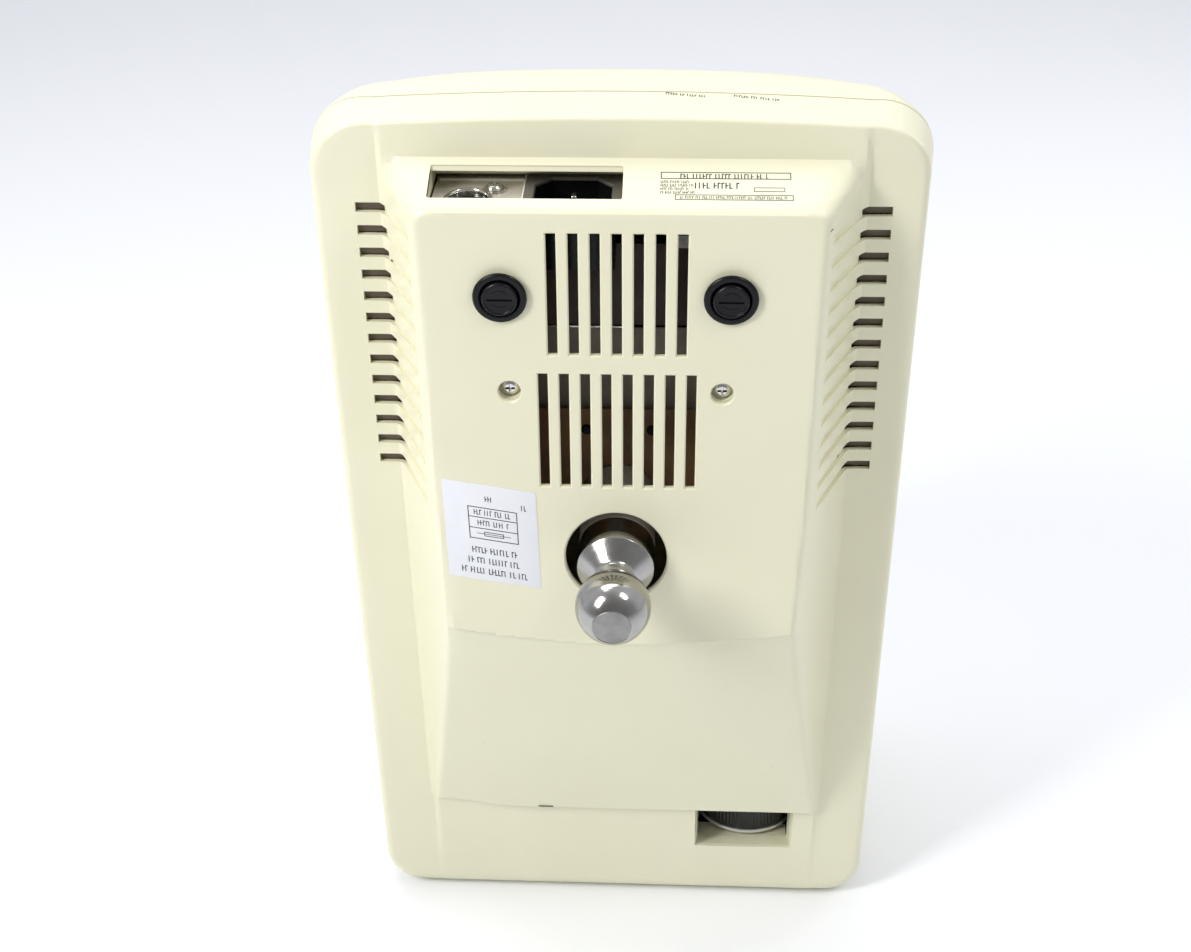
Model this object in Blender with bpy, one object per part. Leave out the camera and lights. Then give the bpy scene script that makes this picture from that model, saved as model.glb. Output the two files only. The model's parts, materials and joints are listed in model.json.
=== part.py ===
"""Automatic chart projector for eye tests, standing on its lens end.

Axes: +X to the right when looking at the underside, +Y from the underside towards the
top cover, +Z from the lens end up to the rear end.  The origin is on the flat standing
face.  Depths below are given from the seam between base shell and top cover, and one
empty moves everything to the origin.  Lengths are in millimetres, scaled by MM.
"""
import math

import bmesh
import bpy
from mathutils import Matrix, Vector

MM = 0.001
GAP = 0.3                  # left between pieces that touch

# Case
CASE_LENGTH = 342.5
CASE_HALF_WIDTH = 100.5
REAR_BOW = 1.0
REAR_CORNER = 20.0
FRONT_CORNER = 18.0
WALL = 2.4
SEAM_TO_ORIGIN = -30.0     # the seam lies this far from the origin along Y

# Base shell
RIM_DEPTH = 20.7
SIDE_DRAFT = 2.6
EDGE_ROUND = 3.0
FRONT_ROUND = 7.0
FOOT_HALF = 77.0           # foot of the plateau's flanks
EDGE_HALF = 62.5           # edge of the plateau's face
STEP_Z = 52.8
CREST_Z = 165.7
CREST_RISE = 6.0
CREST_DEPTH = 58.7
PLATEAU_REAR_Z = 323.0
PLATEAU_REAR_DEPTH = 43.7
END_FACE_Z = 330.8

# Openings of the base shell
LOUVRE_COUNT = 13
LOUVRE_PITCH = 8.0
LOUVRE_TOP_Z = 314.6
LOUVRE_HEIGHT = 3.0
LOUVRE_X = (75.2, 86.2)
SLOT_PITCH = 6.8
SLOT_WIDTH = 3.15
SLOT_ROWS = ((7, 276.1, 315.8), (8, 228.6, 268.6))
FUSE_X, FUSE_Z = 36.0, 295.3
CASE_SCREW_X, CASE_SCREW_Z = 34.1, 262.3
BALL_Z = 200.8
BALL_HOLE_R = 16.7
RECESS = (-58.2, 2.0, -38.4, -24.8)         # x, x, y, y
RECESS_ROOM_Y, RECESS_LIP_Z = -41.1, 322.6
FOCUS_WINDOW = (30.0, 68.2, 29.2, 50.0)     # x, x, z, z

# Top cover
COVER_STRAIGHT = 12.0
COVER_DEPTH = 92.0
COVER_END_ANGLE = 84.0
COVER_SIDE_INSET = 28.0
COVER_REAR_INSET = 78.0
COVER_FRONT_INSET = 10.0

# Optics
LENS_X, LENS_Y = 51.0, 8.0
RING_R = 22.0
RING_Z = (31.8, 58.0)
BARREL_R = 14.0
FRONT_HOLE_R = 19.0
CHART_AXIS = (22.0, 30.0)
CHART_DISK_R = 41.5
CHART_Z = 118.0
MASK_AXIS = (31.0, 40.0)
MASK_DISK_R = 42.0
MASK_Z = 124.0
MOTOR_R = 17.5
IR_WINDOW = (-62.0, -32.0, 16.0, 28.0)      # x, x, y, y

# Chassis
CHASSIS_Y = (-14.0, -12.4)
PANEL_Z = (319.8, 321.0)
PANEL_LOW = -40.8
SIGNAL_CENTRE = (-46.2, -32.6)
EARTH_SCREW = (-38.6, -24.4)
INLET_CENTRE = (-13.6, -26.3)
FAN_X, FAN_Y, FAN_Z = 51.0, 19.0, 242.0

SEAM = None                # the empty that carries every piece


# ---------------------------------------------------------------- scene and mesh tools

def clear_scene():
    for obj in list(bpy.data.objects):
        bpy.data.objects.remove(obj, do_unlink=True)


def material(name, color, roughness, metallic=0.0):
    mat = bpy.data.materials.get(name)
    if mat is None:
        mat = bpy.data.materials.new(name)
        mat.use_nodes = True
        shader = mat.node_tree.nodes["Principled BSDF"]
        shader.inputs["Base Color"].default_value = (*color, 1.0)
        shader.inputs["Roughness"].default_value = roughness
        shader.inputs["Metallic"].default_value = metallic
    return mat


CREAM = ("cream_abs", (0.80, 0.77, 0.62), 0.45, 0.0)
BLACK = ("black_plastic", (0.02, 0.02, 0.022), 0.35, 0.0)
STEEL = ("plated_steel", (0.62, 0.60, 0.55), 0.4, 1.0)
STAINLESS = ("turned_stainless", (0.66, 0.65, 0.63), 0.25, 1.0)
ALUMINIUM = ("black_aluminium", (0.06, 0.06, 0.065), 0.45, 0.6)
GLASS = ("optical_glass", (0.85, 0.92, 0.92), 0.03, 0.0)
DARK_RED = ("infrared_window", (0.12, 0.01, 0.015), 0.1, 0.0)
GREEN = ("circuit_board", (0.02, 0.20, 0.09), 0.5, 0.0)
COPPER = ("copper_winding", (0.55, 0.22, 0.09), 0.4, 0.8)
CORE = ("core_laminations", (0.16, 0.15, 0.15), 0.55, 0.7)
GREY = ("grey_plastic", (0.30, 0.30, 0.30), 0.5, 0.0)
CERAMIC = ("ceramic", (0.85, 0.83, 0.78), 0.6, 0.0)
CHROME = ("bright_plating", (0.75, 0.75, 0.74), 0.15, 1.0)
PAPER = ("white_label", (0.85, 0.86, 0.88), 0.6, 0.0)


def add_object(name, bm, look, axis=None, smooth=35.0):
    """Turns a bmesh in millimetres into a finished object that hangs on the seam empty.

    axis is a point on the piece's joint axis, which becomes the object's origin.
    """
    bmesh.ops.recalc_face_normals(bm, faces=bm.faces)
    place = Vector(axis) if axis else Vector((0, 0, 0))
    bmesh.ops.transform(bm, matrix=Matrix.Scale(MM, 4) @ Matrix.Translation(-place), verts=bm.verts)
    mesh = bpy.data.meshes.new(name)
    bm.to_mesh(mesh)
    bm.free()
    obj = bpy.data.objects.new(name, mesh)
    bpy.context.scene.collection.objects.link(obj)
    obj.parent = SEAM
    obj.location = place * MM
    if look:
        mesh.materials.append(material(*look))
    mesh.shade_smooth()
    mesh.set_sharp_from_angle(angle=math.radians(smooth))
    return obj


def loft(loops):
    """One closed body through rings of points that all have the same length."""
    bm = bmesh.new()
    rings = [[bm.verts.new(p) for p in loop] for loop in loops]
    count = len(rings[0])
    for low, high in zip(rings, rings[1:]):
        for i in range(count):
            j = (i + 1) % count
            bm.faces.new((low[i], low[j], high[j], high[i]))
    bm.faces.new(rings[0])
    bm.faces.new(rings[-1])
    bmesh.ops.triangulate(bm, faces=[face for face in bm.faces if len(face.verts) == 4])
    return bm


def add_turned(bm, profile, centre, axis="z", segments=24):
    """Turns a closed profile of (radius, height) points about an axis through centre."""
    rings = []
    for radius, height in profile:
        if radius < 1e-6:
            rings.append([bm.verts.new(along(centre, axis, 0, 0, height))])
            continue
        ring = []
        for i in range(segments):
            angle = 2 * math.pi * i / segments
            ring.append(bm.verts.new(along(centre, axis, radius * math.cos(angle),
                                           radius * math.sin(angle), height)))
        rings.append(ring)
    for k, low in enumerate(rings):
        high = rings[(k + 1) % len(rings)]
        if len(low) == 1 and len(high) == 1:
            continue
        for i in range(segments):
            j = (i + 1) % segments
            corners = [low[i % len(low)], low[j % len(low)], high[j % len(high)], high[i % len(high)]]
            unique = list(dict.fromkeys(corners))
            bm.faces.new(unique)
    return bm


def along(centre, axis, a, b, height):
    """A point given across (a, b) and along an axis.  Heights along "y" grow outwards, to -Y."""
    x, y, z = centre
    if axis == "z":
        return (x + a, y + b, z + height)
    if axis == "y":
        return (x + a, y - height, z + b)
    return (x + height, y + a, z + b)


def turned(profile, centre, axis="z", segments=24):
    return add_turned(bmesh.new(), profile, centre, axis, segments)


def rod(radius, low, high):
    return [(0, low), (radius, low), (radius, high), (0, high)]


def tube(outer, inner, low, high):
    return [(inner, low), (outer, low), (outer, high), (inner, high)]


def add_box(bm, low, high, chamfer=0.0):
    corners = [Vector((x, y, z)) for x in (low[0], high[0]) for y in (low[1], high[1])
               for z in (low[2], high[2])]
    verts = [bm.verts.new(c) for c in corners]
    faces = [bm.faces.new([verts[i] for i in quad]) for quad in
             ((0, 1, 3, 2), (4, 6, 7, 5), (0, 4, 5, 1), (2, 3, 7, 6), (0, 2, 6, 4), (1, 5, 7, 3))]
    if chamfer:
        edges = list({edge for face in faces for edge in face.edges})
        bmesh.ops.bevel(bm, geom=edges, offset=chamfer, segments=1, affect="EDGES")
    return bm


def boxes(*pairs, chamfer=0.0):
    bm = bmesh.new()
    for low, high in pairs:
        add_box(bm, low, high, chamfer)
    return bm


def prism(points, low, high, axis="z"):
    """Extrudes a flat outline of (a, b) points along an axis."""
    if axis == "z":
        loops = [[(a, b, level) for a, b in points] for level in (low, high)]
    elif axis == "y":
        loops = [[(a, level, b) for a, b in points] for level in (low, high)]
    else:
        loops = [[(level, a, b) for a, b in points] for level in (low, high)]
    return loft(loops)


def cutter(name, bm):
    obj = add_object(name, bm, None)
    obj.hide_render = True
    obj.display_type = "WIRE"
    return obj


def boolean(obj, other, operation):
    mod = obj.modifiers.new(other.name, "BOOLEAN")
    mod.operation = operation
    mod.solver = "EXACT"
    mod.object = other


def cut(obj, *cutters):
    for other in cutters:
        boolean(obj, other, "DIFFERENCE")


def join(obj, *guides):
    for other in guides:
        boolean(obj, other, "UNION")


# ---------------------------------------------------------------- case

def arc(centre, radius, start, end, steps):
    """Points and outward normals along an arc, angles in degrees from +X."""
    result = []
    for i in range(steps + 1):
        angle = math.radians(start + (end - start) * i / steps)
        normal = (math.cos(angle), math.sin(angle))
        result.append((centre[0] + radius * normal[0], centre[1] + radius * normal[1], *normal))
    return result


def case_outline(side=0.0, rear=0.0, front=0.0, corner=0.0, steps=4):
    """The case seen from the underside, once round: (x, z, normal x, normal z).

    side, rear and front move the walls in, and corner shrinks the corner radii.
    """
    w, top, low = CASE_HALF_WIDTH - side, CASE_LENGTH - REAR_BOW - rear, front
    small, large = FRONT_CORNER - corner, REAR_CORNER - corner
    points = arc((w - small, low + small), small, -90, 0, steps)
    points += arc((w - large, top - large), large, 0, 90, steps)
    reach = w - large
    points += [(share * reach, top + REAR_BOW * (1 - share ** 2), 0.0, 1.0)
               for share in (0.67, 0.33, 0.0, -0.33, -0.67)]
    points += arc((large - w, top - large), large, 90, 180, steps)
    points += arc((small - w, low + small), small, 180, 270, steps)
    return points


def base_ring(angle, inset):
    """A ring of the base shell's rounded edge: 0 at the wall, 90 degrees at the flat."""
    turn = math.radians(angle)
    bulge = 1 - math.cos(turn)
    small = EDGE_ROUND if inset == 0 else 0.6
    large = FRONT_ROUND - inset
    depth = RIM_DEPTH - inset
    ring = []
    for x, z, _, nz in case_outline(SIDE_DRAFT + inset + small * bulge, inset + small * bulge,
                                    inset + large * bulge, inset + small * bulge):
        radius = small + (large - small) * max(0.0, -nz)
        ring.append((x, -(depth - radius + radius * math.sin(turn)), z))
    return ring


def seam_ring(inset, level):
    return [(x, level, z) for x, z, _, _ in case_outline(inset, inset, inset, inset)]


def crest_z(x):
    return CREST_Z + CREST_RISE * (x / EDGE_HALF) ** 2


def plateau_ring(z_of_x, depth, edge_half, foot_half, inset, inner_depth):
    """A ring across the plateau: up one flank, over the face, and down the other flank."""
    top = -(depth - inset)
    edge = edge_half - inset
    foot = foot_half - inset
    shoulder = min(top + 2.4, inner_depth - 0.1)
    across = [edge - 1.8, 36.0, 14.0, -14.0, -36.0, 1.8 - edge]
    ring = [(foot, inner_depth, z_of_x(foot)), (edge + 1.2, shoulder, z_of_x(edge))]
    ring += [(x, top, z_of_x(x)) for x in across]
    ring += [(-edge - 1.2, shoulder, z_of_x(edge)), (-foot, inner_depth, z_of_x(foot))]
    return ring


def level_z(z):
    return lambda x: z


def plateau_body():
    """The wedge, the plateau and the low pad that runs under them from end to end."""
    stations = ((level_z(4.0), RIM_DEPTH + 0.25, 74.5), (level_z(STEP_Z - 0.4), RIM_DEPTH + 1.0, 74.0),
                (level_z(STEP_Z), RIM_DEPTH + 2.4, 70.5), (crest_z, CREST_DEPTH, EDGE_HALF),
                (level_z(PLATEAU_REAR_Z), PLATEAU_REAR_DEPTH, EDGE_HALF),
                (level_z(END_FACE_Z), RIM_DEPTH + 1.2, 70.0), (level_z(340.0), RIM_DEPTH + 0.25, 74.5))
    return loft([plateau_ring(z, depth, edge, FOOT_HALF, 0.0, -RIM_DEPTH + 1.2)
                 for z, depth, edge in stations])


def plateau_hollow():
    stations = ((level_z(STEP_Z + 14.0), RIM_DEPTH + 4.5, 70.5), (crest_z, CREST_DEPTH, EDGE_HALF),
                (level_z(PLATEAU_REAR_Z - 2.0), PLATEAU_REAR_DEPTH, EDGE_HALF),
                (level_z(END_FACE_Z - 3.0), RIM_DEPTH + 0.8, 70.0))
    return loft([plateau_ring(z, depth, edge, FOOT_HALF, WALL, -RIM_DEPTH + WALL + 1.0)
                 for z, depth, edge in stations])


def face_y(z, x=0.0):
    """The plateau's face between its bowed crest and its rear edge."""
    crest = crest_z(x)
    t = (z - crest) / (PLATEAU_REAR_Z - crest)
    return -(CREST_DEPTH + (PLATEAU_REAR_DEPTH - CREST_DEPTH) * t)


def add_louvres(bm):
    for side in (-1, 1):
        low, high = sorted((side * LOUVRE_X[0], side * LOUVRE_X[1]))
        for i in range(LOUVRE_COUNT):
            top = LOUVRE_TOP_Z - i * LOUVRE_PITCH
            add_box(bm, (low, -RIM_DEPTH - 6, top - LOUVRE_HEIGHT), (high, -RIM_DEPTH + 4, top))


def add_slots(bm):
    for count, low, high in SLOT_ROWS:
        for i in range(count):
            x = (i - (count - 1) / 2) * SLOT_PITCH
            add_box(bm, (x - SLOT_WIDTH / 2, -62, low), (x + SLOT_WIDTH / 2, -36, high))


def screw_bosses():
    bm = bmesh.new()
    for x in (-CASE_SCREW_X, CASE_SCREW_X):
        add_turned(bm, rod(5.6, -CHASSIS_Y[0] + GAP, -face_y(CASE_SCREW_Z) - 0.8),
                   (x, 0, CASE_SCREW_Z), "y", 12)
    return bm


def add_round_openings(bm):
    for x in (-CASE_SCREW_X, CASE_SCREW_X):
        recess = -face_y(CASE_SCREW_Z) - 4.2
        add_turned(bm, [(0, 8), (2.0, 8), (2.0, recess), (3.7, recess), (3.7, 62), (0, 62)],
                   (x, 0, CASE_SCREW_Z), "y", 12)
    for x in (-FUSE_X, FUSE_X):
        add_turned(bm, rod(7.0, 36, 62), (x, 0, FUSE_Z), "y", 16)
    add_turned(bm, rod(BALL_HOLE_R, 40, 70), (0, 0, BALL_Z), "y", 32)


def add_front_openings(bm):
    add_turned(bm, rod(FRONT_HOLE_R, -4, 12), (LENS_X, LENS_Y, 0), "z", 24)
    x0, x1, y0, y1 = IR_WINDOW
    return add_box(bm, (x0, y0, -4), (x1, y1, 8))


def add_loft(bm, loops):
    piece = loft(loops)
    mesh = bpy.data.meshes.new("loft")
    piece.to_mesh(mesh)
    piece.free()
    bm.from_mesh(mesh)
    bpy.data.meshes.remove(mesh)


def add_rear_and_focus_openings(bm):
    x0, x1, y0, y1 = RECESS
    room = [(y0, 336), (y1, 336), (y1, 318), (RECESS_ROOM_Y, 318), (RECESS_ROOM_Y, RECESS_LIP_Z), (y0, RECESS_LIP_Z)]
    add_loft(bm, [[(x, y, z) for y, z in room] for x in (x0, x1)])
    x0, x1, z0, z1 = FOCUS_WINDOW
    outer = [(x0, z0), (x1, z0), (x1, z1), (x0, z1)]
    inner = [(x0 + 1, z0 + 3.4), (x1 - 1, z0 + 3.4), (x1 - 1, z1), (x0 + 1, z1)]
    add_loft(bm, [[(x, -24, z) for x, z in outer], [(x, -RIM_DEPTH, z) for x, z in outer],
                  [(x, -16, z) for x, z in inner]])


def underside_openings():
    bm = bmesh.new()
    add_louvres(bm)
    add_slots(bm)
    add_round_openings(bm)
    add_rear_and_focus_openings(bm)
    return add_front_openings(bm)


def make_base_shell():
    outer = [base_ring(a, 0.0) for a in (90, 60, 30, 0)] + [seam_ring(0.0, 0.0)]
    inner = [seam_ring(WALL, 0.0)] + [base_ring(a, WALL) for a in (0, 90)]
    shell = add_object("base_shell", loft(outer + inner), CREAM)
    join(shell, cutter("plateau_guide", plateau_body()))
    cut(shell, cutter("plateau_hollow", plateau_hollow()))
    join(shell, cutter("boss_guide", screw_bosses()))
    cut(shell, cutter("underside_cutter", underside_openings()))


def cover_ring(angle, inset):
    """A ring of the domed cover: 0 where the straight wall ends, 90 degrees at the top."""
    turn = math.radians(angle)
    bulge = 1 - math.cos(turn)
    side = COVER_SIDE_INSET * bulge ** 0.9
    rear = COVER_REAR_INSET * bulge ** 0.8
    front = COVER_FRONT_INSET * max(0.0, (angle - 60.0) / 30.0) ** 2
    rise = math.sin(turn) / math.sin(math.radians(COVER_END_ANGLE))
    level = COVER_STRAIGHT + (COVER_DEPTH - COVER_STRAIGHT) * rise
    ring = []
    for x, z, _, _ in case_outline(inset, inset, inset, inset):
        shrink = (CASE_LENGTH - rear - front) / CASE_LENGTH
        ring.append((x * (1 - side / CASE_HALF_WIDTH), level - inset * math.sin(turn), front + z * shrink))
    return ring


def make_top_cover():
    angles = (COVER_END_ANGLE, 72, 60, 45, 30, 15, 0)
    outer = [cover_ring(a, 0.0) for a in angles] + [seam_ring(0.0, GAP)]
    inner = [seam_ring(WALL, GAP)] + [cover_ring(a, WALL) for a in reversed(angles)]
    cover = add_object("top_cover", loft(outer + inner), CREAM)
    cut(cover, cutter("front_cutter", add_front_openings(bmesh.new())))


def make_case_screws():
    seat = -face_y(CASE_SCREW_Z) - 4.2 + GAP
    profile = [(0, 12.7), (1.6, 12.7), (1.6, seat), (3.2, seat), (2.8, seat + 1.9), (0, seat + 2.2)]
    for side, x in (("left", -CASE_SCREW_X), ("right", CASE_SCREW_X)):
        add_object("case_screw_" + side, turned(profile, (x, 0, CASE_SCREW_Z), "y", 16), STEEL)


def make_label():
    """The paper label on the plateau, turned a little, and the plate label on the end face."""
    x, z = -42.2, 209.0
    slope = math.atan2(CREST_DEPTH - PLATEAU_REAR_DEPTH, PLATEAU_REAR_Z - CREST_Z)
    bm = boxes(((-15.6, -0.15, -18.6), (15.6, 0.15, 18.6)))
    matrix = (Matrix.Translation((x, face_y(z, x) - 0.65, z)) @ Matrix.Rotation(-slope, 4, "X")
              @ Matrix.Rotation(math.radians(9.0), 4, "Y"))
    bmesh.ops.transform(bm, matrix=matrix, verts=bm.verts)
    add_object("fuse_label", bm, PAPER)


# ---------------------------------------------------------------- chassis and ball stud

def make_chassis():
    plate = add_object("chassis_plate", boxes(((-72, CHASSIS_Y[0], 62), (72, CHASSIS_Y[1], 318))), STEEL)
    bm = boxes(((-27.5, -20, 228), (27.5, -5, 312)))
    add_turned(bm, rod(5.4, 5, 20), (0, 0, BALL_Z), "y", 24)
    for x in (-FUSE_X, FUSE_X):
        add_turned(bm, rod(7.2, 5, 20), (x, 0, FUSE_Z), "y", 16)
    for x in (-CASE_SCREW_X, CASE_SCREW_X):
        add_turned(bm, rod(1.9, 5, 20), (x, 0, CASE_SCREW_Z), "y", 8)
    add_box(bm, (44, -20, 140), (58, -5, 170))
    cut(plate, cutter("chassis_cutter", bm))


def make_ball_stud():
    plate = add_object("stud_plate", boxes(((-32, -17.3, 172), (32, CHASSIS_Y[0] - GAP, 226))), STEEL)
    cut(plate, cutter("stud_plate_cutter", turned(rod(5.4, 5, 20), (0, 0, BALL_Z), "y", 24)))
    ball_r, ball_at, face_r = 12.4, 81.8, 6.6
    reach = math.sqrt(ball_r ** 2 - face_r ** 2)
    neck_r = 6.2
    start = math.asin(neck_r / ball_r)
    end = math.pi - math.asin(face_r / ball_r)
    profile = [(0, 2.0), (5.0, 2.0), (5.0, 17.6), (12.85, 17.6), (12.85, 62.0), (6.6, 66.0),
               (neck_r, 66.8)]
    steps = 7
    for i in range(steps + 1):
        angle = start + (end - start) * i / steps
        profile.append((ball_r * math.sin(angle), ball_at - ball_r * math.cos(angle)))
    profile += [(0, ball_at + reach)]
    add_object("ball_stud", turned(profile, (0, 0, BALL_Z), "y", 24), STAINLESS)
    washer = turned(tube(10.5, 5.3, 10.5, 12.1), (0, 0, BALL_Z), "y", 24)
    add_object("stud_washer", washer, STEEL)
    nut = add_object("stud_nut", turned(rod(9.5, 3.6, 10.2), (0, 0, BALL_Z), "y", 6), STEEL)
    cut(nut, cutter("nut_cutter", turned(rod(5.3, 0, 15), (0, 0, BALL_Z), "y", 24)))


# ---------------------------------------------------------------- fuses

def make_fuses():
    face = -face_y(FUSE_Z)
    for side, x in (("left", -FUSE_X), ("right", FUSE_X)):
        centre = (x, 0, FUSE_Z)
        holder = [(6.1, face + 2.0), (6.1, 17.0), (3.4, 16.0), (3.4, 10.0), (6.7, 10.0), (6.7, face + 1.2),
                  (8.5, face + 1.2), (8.5, face + 1.6), (8.0, face + 2.0)]
        add_object("fuse_holder_" + side, turned(holder, centre, "y", 16), BLACK)
        cap = [(0, face - 10.0), (2.9, face - 10.0), (2.9, face - 14.0), (5.7, face - 14.0),
               (5.7, face + 2.8), (5.2, face + 3.2), (0, face + 3.2)]
        piece = add_object("fuse_cap_" + side, turned(cap, centre, "y", 16), BLACK, axis=centre)
        slot = boxes(((x - 4.2, -face - 6, FUSE_Z - 0.8), (x + 4.2, -face - 2.0, FUSE_Z + 0.8)))
        cut(piece, cutter("cap_slot_" + side, slot))
        fuse = turned(rod(2.5, 17.0, face - 10.0 - GAP), centre, "y", 16)
        add_object("fuse_" + side, fuse, GLASS, axis=centre)


# ---------------------------------------------------------------- rear connectors

def make_connector_panel():
    x0, x1, _, _ = RECESS
    low, high = PANEL_Z
    outline = [(PANEL_LOW, low), (-12.1, low), (-12.1, 305), (-10.9, 305), (-10.9, high), (PANEL_LOW, high)]
    panel = add_object("connector_panel", prism(outline, x0 + GAP, x1 - GAP, "x"), STEEL)
    x, y = INLET_CENTRE
    bm = boxes(((x - 13.3, y - 9.5, 312), (x + 13.3, y + 9.5, 327)))
    add_turned(bm, rod(7.1, 312, 327), (*SIGNAL_CENTRE, 0), "z", 24)
    add_turned(bm, rod(1.5, 312, 327), (*EARTH_SCREW, 0), "z", 12)
    cut(panel, cutter("panel_cutter", bm))


def make_mains_inlet():
    x, y = INLET_CENTRE
    body = add_object("mains_inlet", boxes(((x - 13.0, y - 9.2, 299), (x + 13.0, y + 9.2, 320.9))), GREY)
    join(body, cutter("inlet_neck", boxes(((x - 12.9, y - 9.1, 320.0), (x + 12.9, y + 9.1, 322.0)))),
         cutter("inlet_flange", boxes(((x - 15.2, y - 11.7, 321.3), (x + 15.2, y + 11.7, 322.6)))))
    w, h, corner = 12.1, 8.2, 5.0
    cavity = [(-w, -h), (w, -h), (w, h - corner), (w - corner, h), (corner - w, h), (-w, h - corner)]
    cut(body, cutter("inlet_cavity", prism([(x + a, y + b) for a, b in cavity], 306, 327)))
    for name, across, up, end in (("live_pin", -7, -2.0, 318.5), ("neutral_pin", 7, -2.0, 318.5),
                                  ("earth_pin", 0, 2.0, 320.0)):
        pin = boxes(((x + across - 1, y + up - 2, 306.3), (x + across + 1, y + up + 2, end)))
        add_object(name, pin, CHROME)


def make_signal_connector():
    centre = (*SIGNAL_CENTRE, 0)
    shell = [(5.8, 307), (6.8, 307), (6.8, 321.2), (7.6, 321.2), (7.6, 321.9), (6.3, 321.9), (6.3, 309), (5.8, 309)]
    add_object("signal_connector", turned(shell, centre, "z", 20), CHROME)
    insert = turned(rod(5.5, 308, 319.5), centre, "z", 24)
    add_object("signal_insert", insert, BLACK)
    screw = [(0, 311), (1.2, 311), (1.2, 321.3), (2.4, 321.3), (2.1, 322.7), (0, 323.0)]
    add_object("earth_screw", turned(screw, (*EARTH_SCREW, 0), "z", 16), CHROME)


# ---------------------------------------------------------------- optics

def make_front():
    centre = (LENS_X, LENS_Y, 0)
    bezel = [(15.0, 0.8), (18.6, 0.8), (18.6, 2.7), (22.0, 2.7), (22.0, 4.8), (17.3, 4.8), (17.3, 1.8),
             (15.0, 1.8)]
    add_object("lens_bezel", turned(bezel, centre, "z", 24), BLACK)
    add_object("front_glass", turned(rod(17.0, 2.1, 4.1), centre, "z", 24), GLASS)
    x0, x1, y0, y1 = IR_WINDOW
    window = add_object("infrared_window", boxes(((x0 - 2, y0 - 2, 2.7), (x1 + 2, y1 + 2, 4.2))), DARK_RED)
    join(window, cutter("window_guide", boxes(((x0 + GAP, y0 + GAP, 0.7), (x1 - GAP, y1 - GAP, 3.4)))))
    board = add_object("infrared_board", boxes(((x0 - 2, y0 - 4, 12), (x1 + 2, y1 + 4, 13.6))), GREEN)
    receivers = bmesh.new()
    for x in (x0 + 9, x1 - 9):
        add_turned(receivers, [(0, 5.2), (1.6, 5.8), (2.5, 7.4), (2.5, 12.5), (0, 12.5)],
                   (x, (y0 + y1) / 2, 0), "z", 12)
    join(board, cutter("receiver_guide", receivers))


def knurled_ring(outer, inner, low, high, teeth):
    """A ring with straight knurling: the outline alternates between two radii."""
    bm = bmesh.new()
    count = teeth * 2
    levels = ((inner, low, 0), (outer, low, 1), (outer, high, 1), (inner, high, 0))
    rings = []
    for radius, level, rough in levels:
        ring = []
        for i in range(count):
            angle = 2 * math.pi * i / count
            r = radius - (0.7 if rough and i % 2 else 0.0)
            ring.append(bm.verts.new((LENS_X + r * math.cos(angle), LENS_Y + r * math.sin(angle), level)))
        rings.append(ring)
    for k, low_ring in enumerate(rings):
        high_ring = rings[(k + 1) % 4]
        for i in range(count):
            j = (i + 1) % count
            bm.faces.new((low_ring[i], low_ring[j], high_ring[j], high_ring[i]))
    return bm


def lens(radius, low, high, bulge):
    """A biconvex lens profile between two heights at its rim."""
    return [(0, low - bulge), (radius * 0.55, low - bulge * 0.7), (radius, low), (radius, high),
            (radius * 0.55, high + bulge * 0.7), (0, high + bulge)]


def make_projection_lens():
    centre = (LENS_X, LENS_Y, 0)
    add_object("focus_ring", knurled_ring(RING_R, 16.7, *RING_Z, 30), BLACK, axis=centre, smooth=20)
    mount = [(14.4, 31), (16.3, 31), (16.3, 100), (18.4, 100), (18.4, 105.7), (16.3, 105.7), (16.3, 112),
             (14.4, 112)]
    add_object("lens_mount", turned(mount, centre, "z", 24), ALUMINIUM)
    barrel = [(11.6, 22), (BARREL_R, 22), (BARREL_R, 86), (11.6, 86)]
    add_object("lens_barrel", turned(barrel, centre, "z", 24), ALUMINIUM, axis=centre)
    add_object("front_lens", turned(lens(11.2, 27, 30, 2.2), centre, "z", 24), GLASS, axis=centre)
    add_object("rear_lens", turned(lens(11.2, 76, 79, 1.8), centre, "z", 24), GLASS, axis=centre)


def make_optics_plates():
    front = add_object("optics_plate", boxes(((-22, -12.1, 106), (84, 74, 108))), STEEL)
    bm = turned(rod(16.7, 100, 112), (LENS_X, LENS_Y, 0), "z", 24)
    add_turned(bm, rod(4.0, 100, 112), (*CHART_AXIS, 0), "z", 16)
    cut(front, cutter("optics_plate_cutter", bm))
    rear = add_object("condenser_plate", boxes(((6, -12.1, 134), (84, 66, 136))), STEEL)
    bm = turned(rod(12.0, 130, 140), (LENS_X, LENS_Y, 0), "z", 24)
    add_turned(bm, rod(4.0, 130, 140), (*MASK_AXIS, 0), "z", 16)
    cut(rear, cutter("condenser_plate_cutter", bm))


def disk_with_windows(name, axis, radius, level, reach, count, hole_r, look):
    """A thin disk on a hub, pierced by a circle of windows that pass the lens axis."""
    centre = (*axis, 0)
    profile = [(2.9, level - 3), (6, level - 3), (6, level), (radius, level), (radius, level + 1.2),
               (6, level + 1.2), (6, level + 2.2), (2.9, level + 2.2)]
    disk = add_object(name, turned(profile, centre, "z", 32), look, axis=centre)
    bm = bmesh.new()
    start = math.atan2(LENS_Y - axis[1], LENS_X - axis[0])
    for i in range(count):
        angle = start + 2 * math.pi * i / count
        spot = (axis[0] + reach * math.cos(angle), axis[1] + reach * math.sin(angle), 0)
        add_turned(bm, rod(hole_r, level - 2, level + 3), spot, "z", 6)
    cut(disk, cutter(name + "_cutter", bm))


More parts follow.
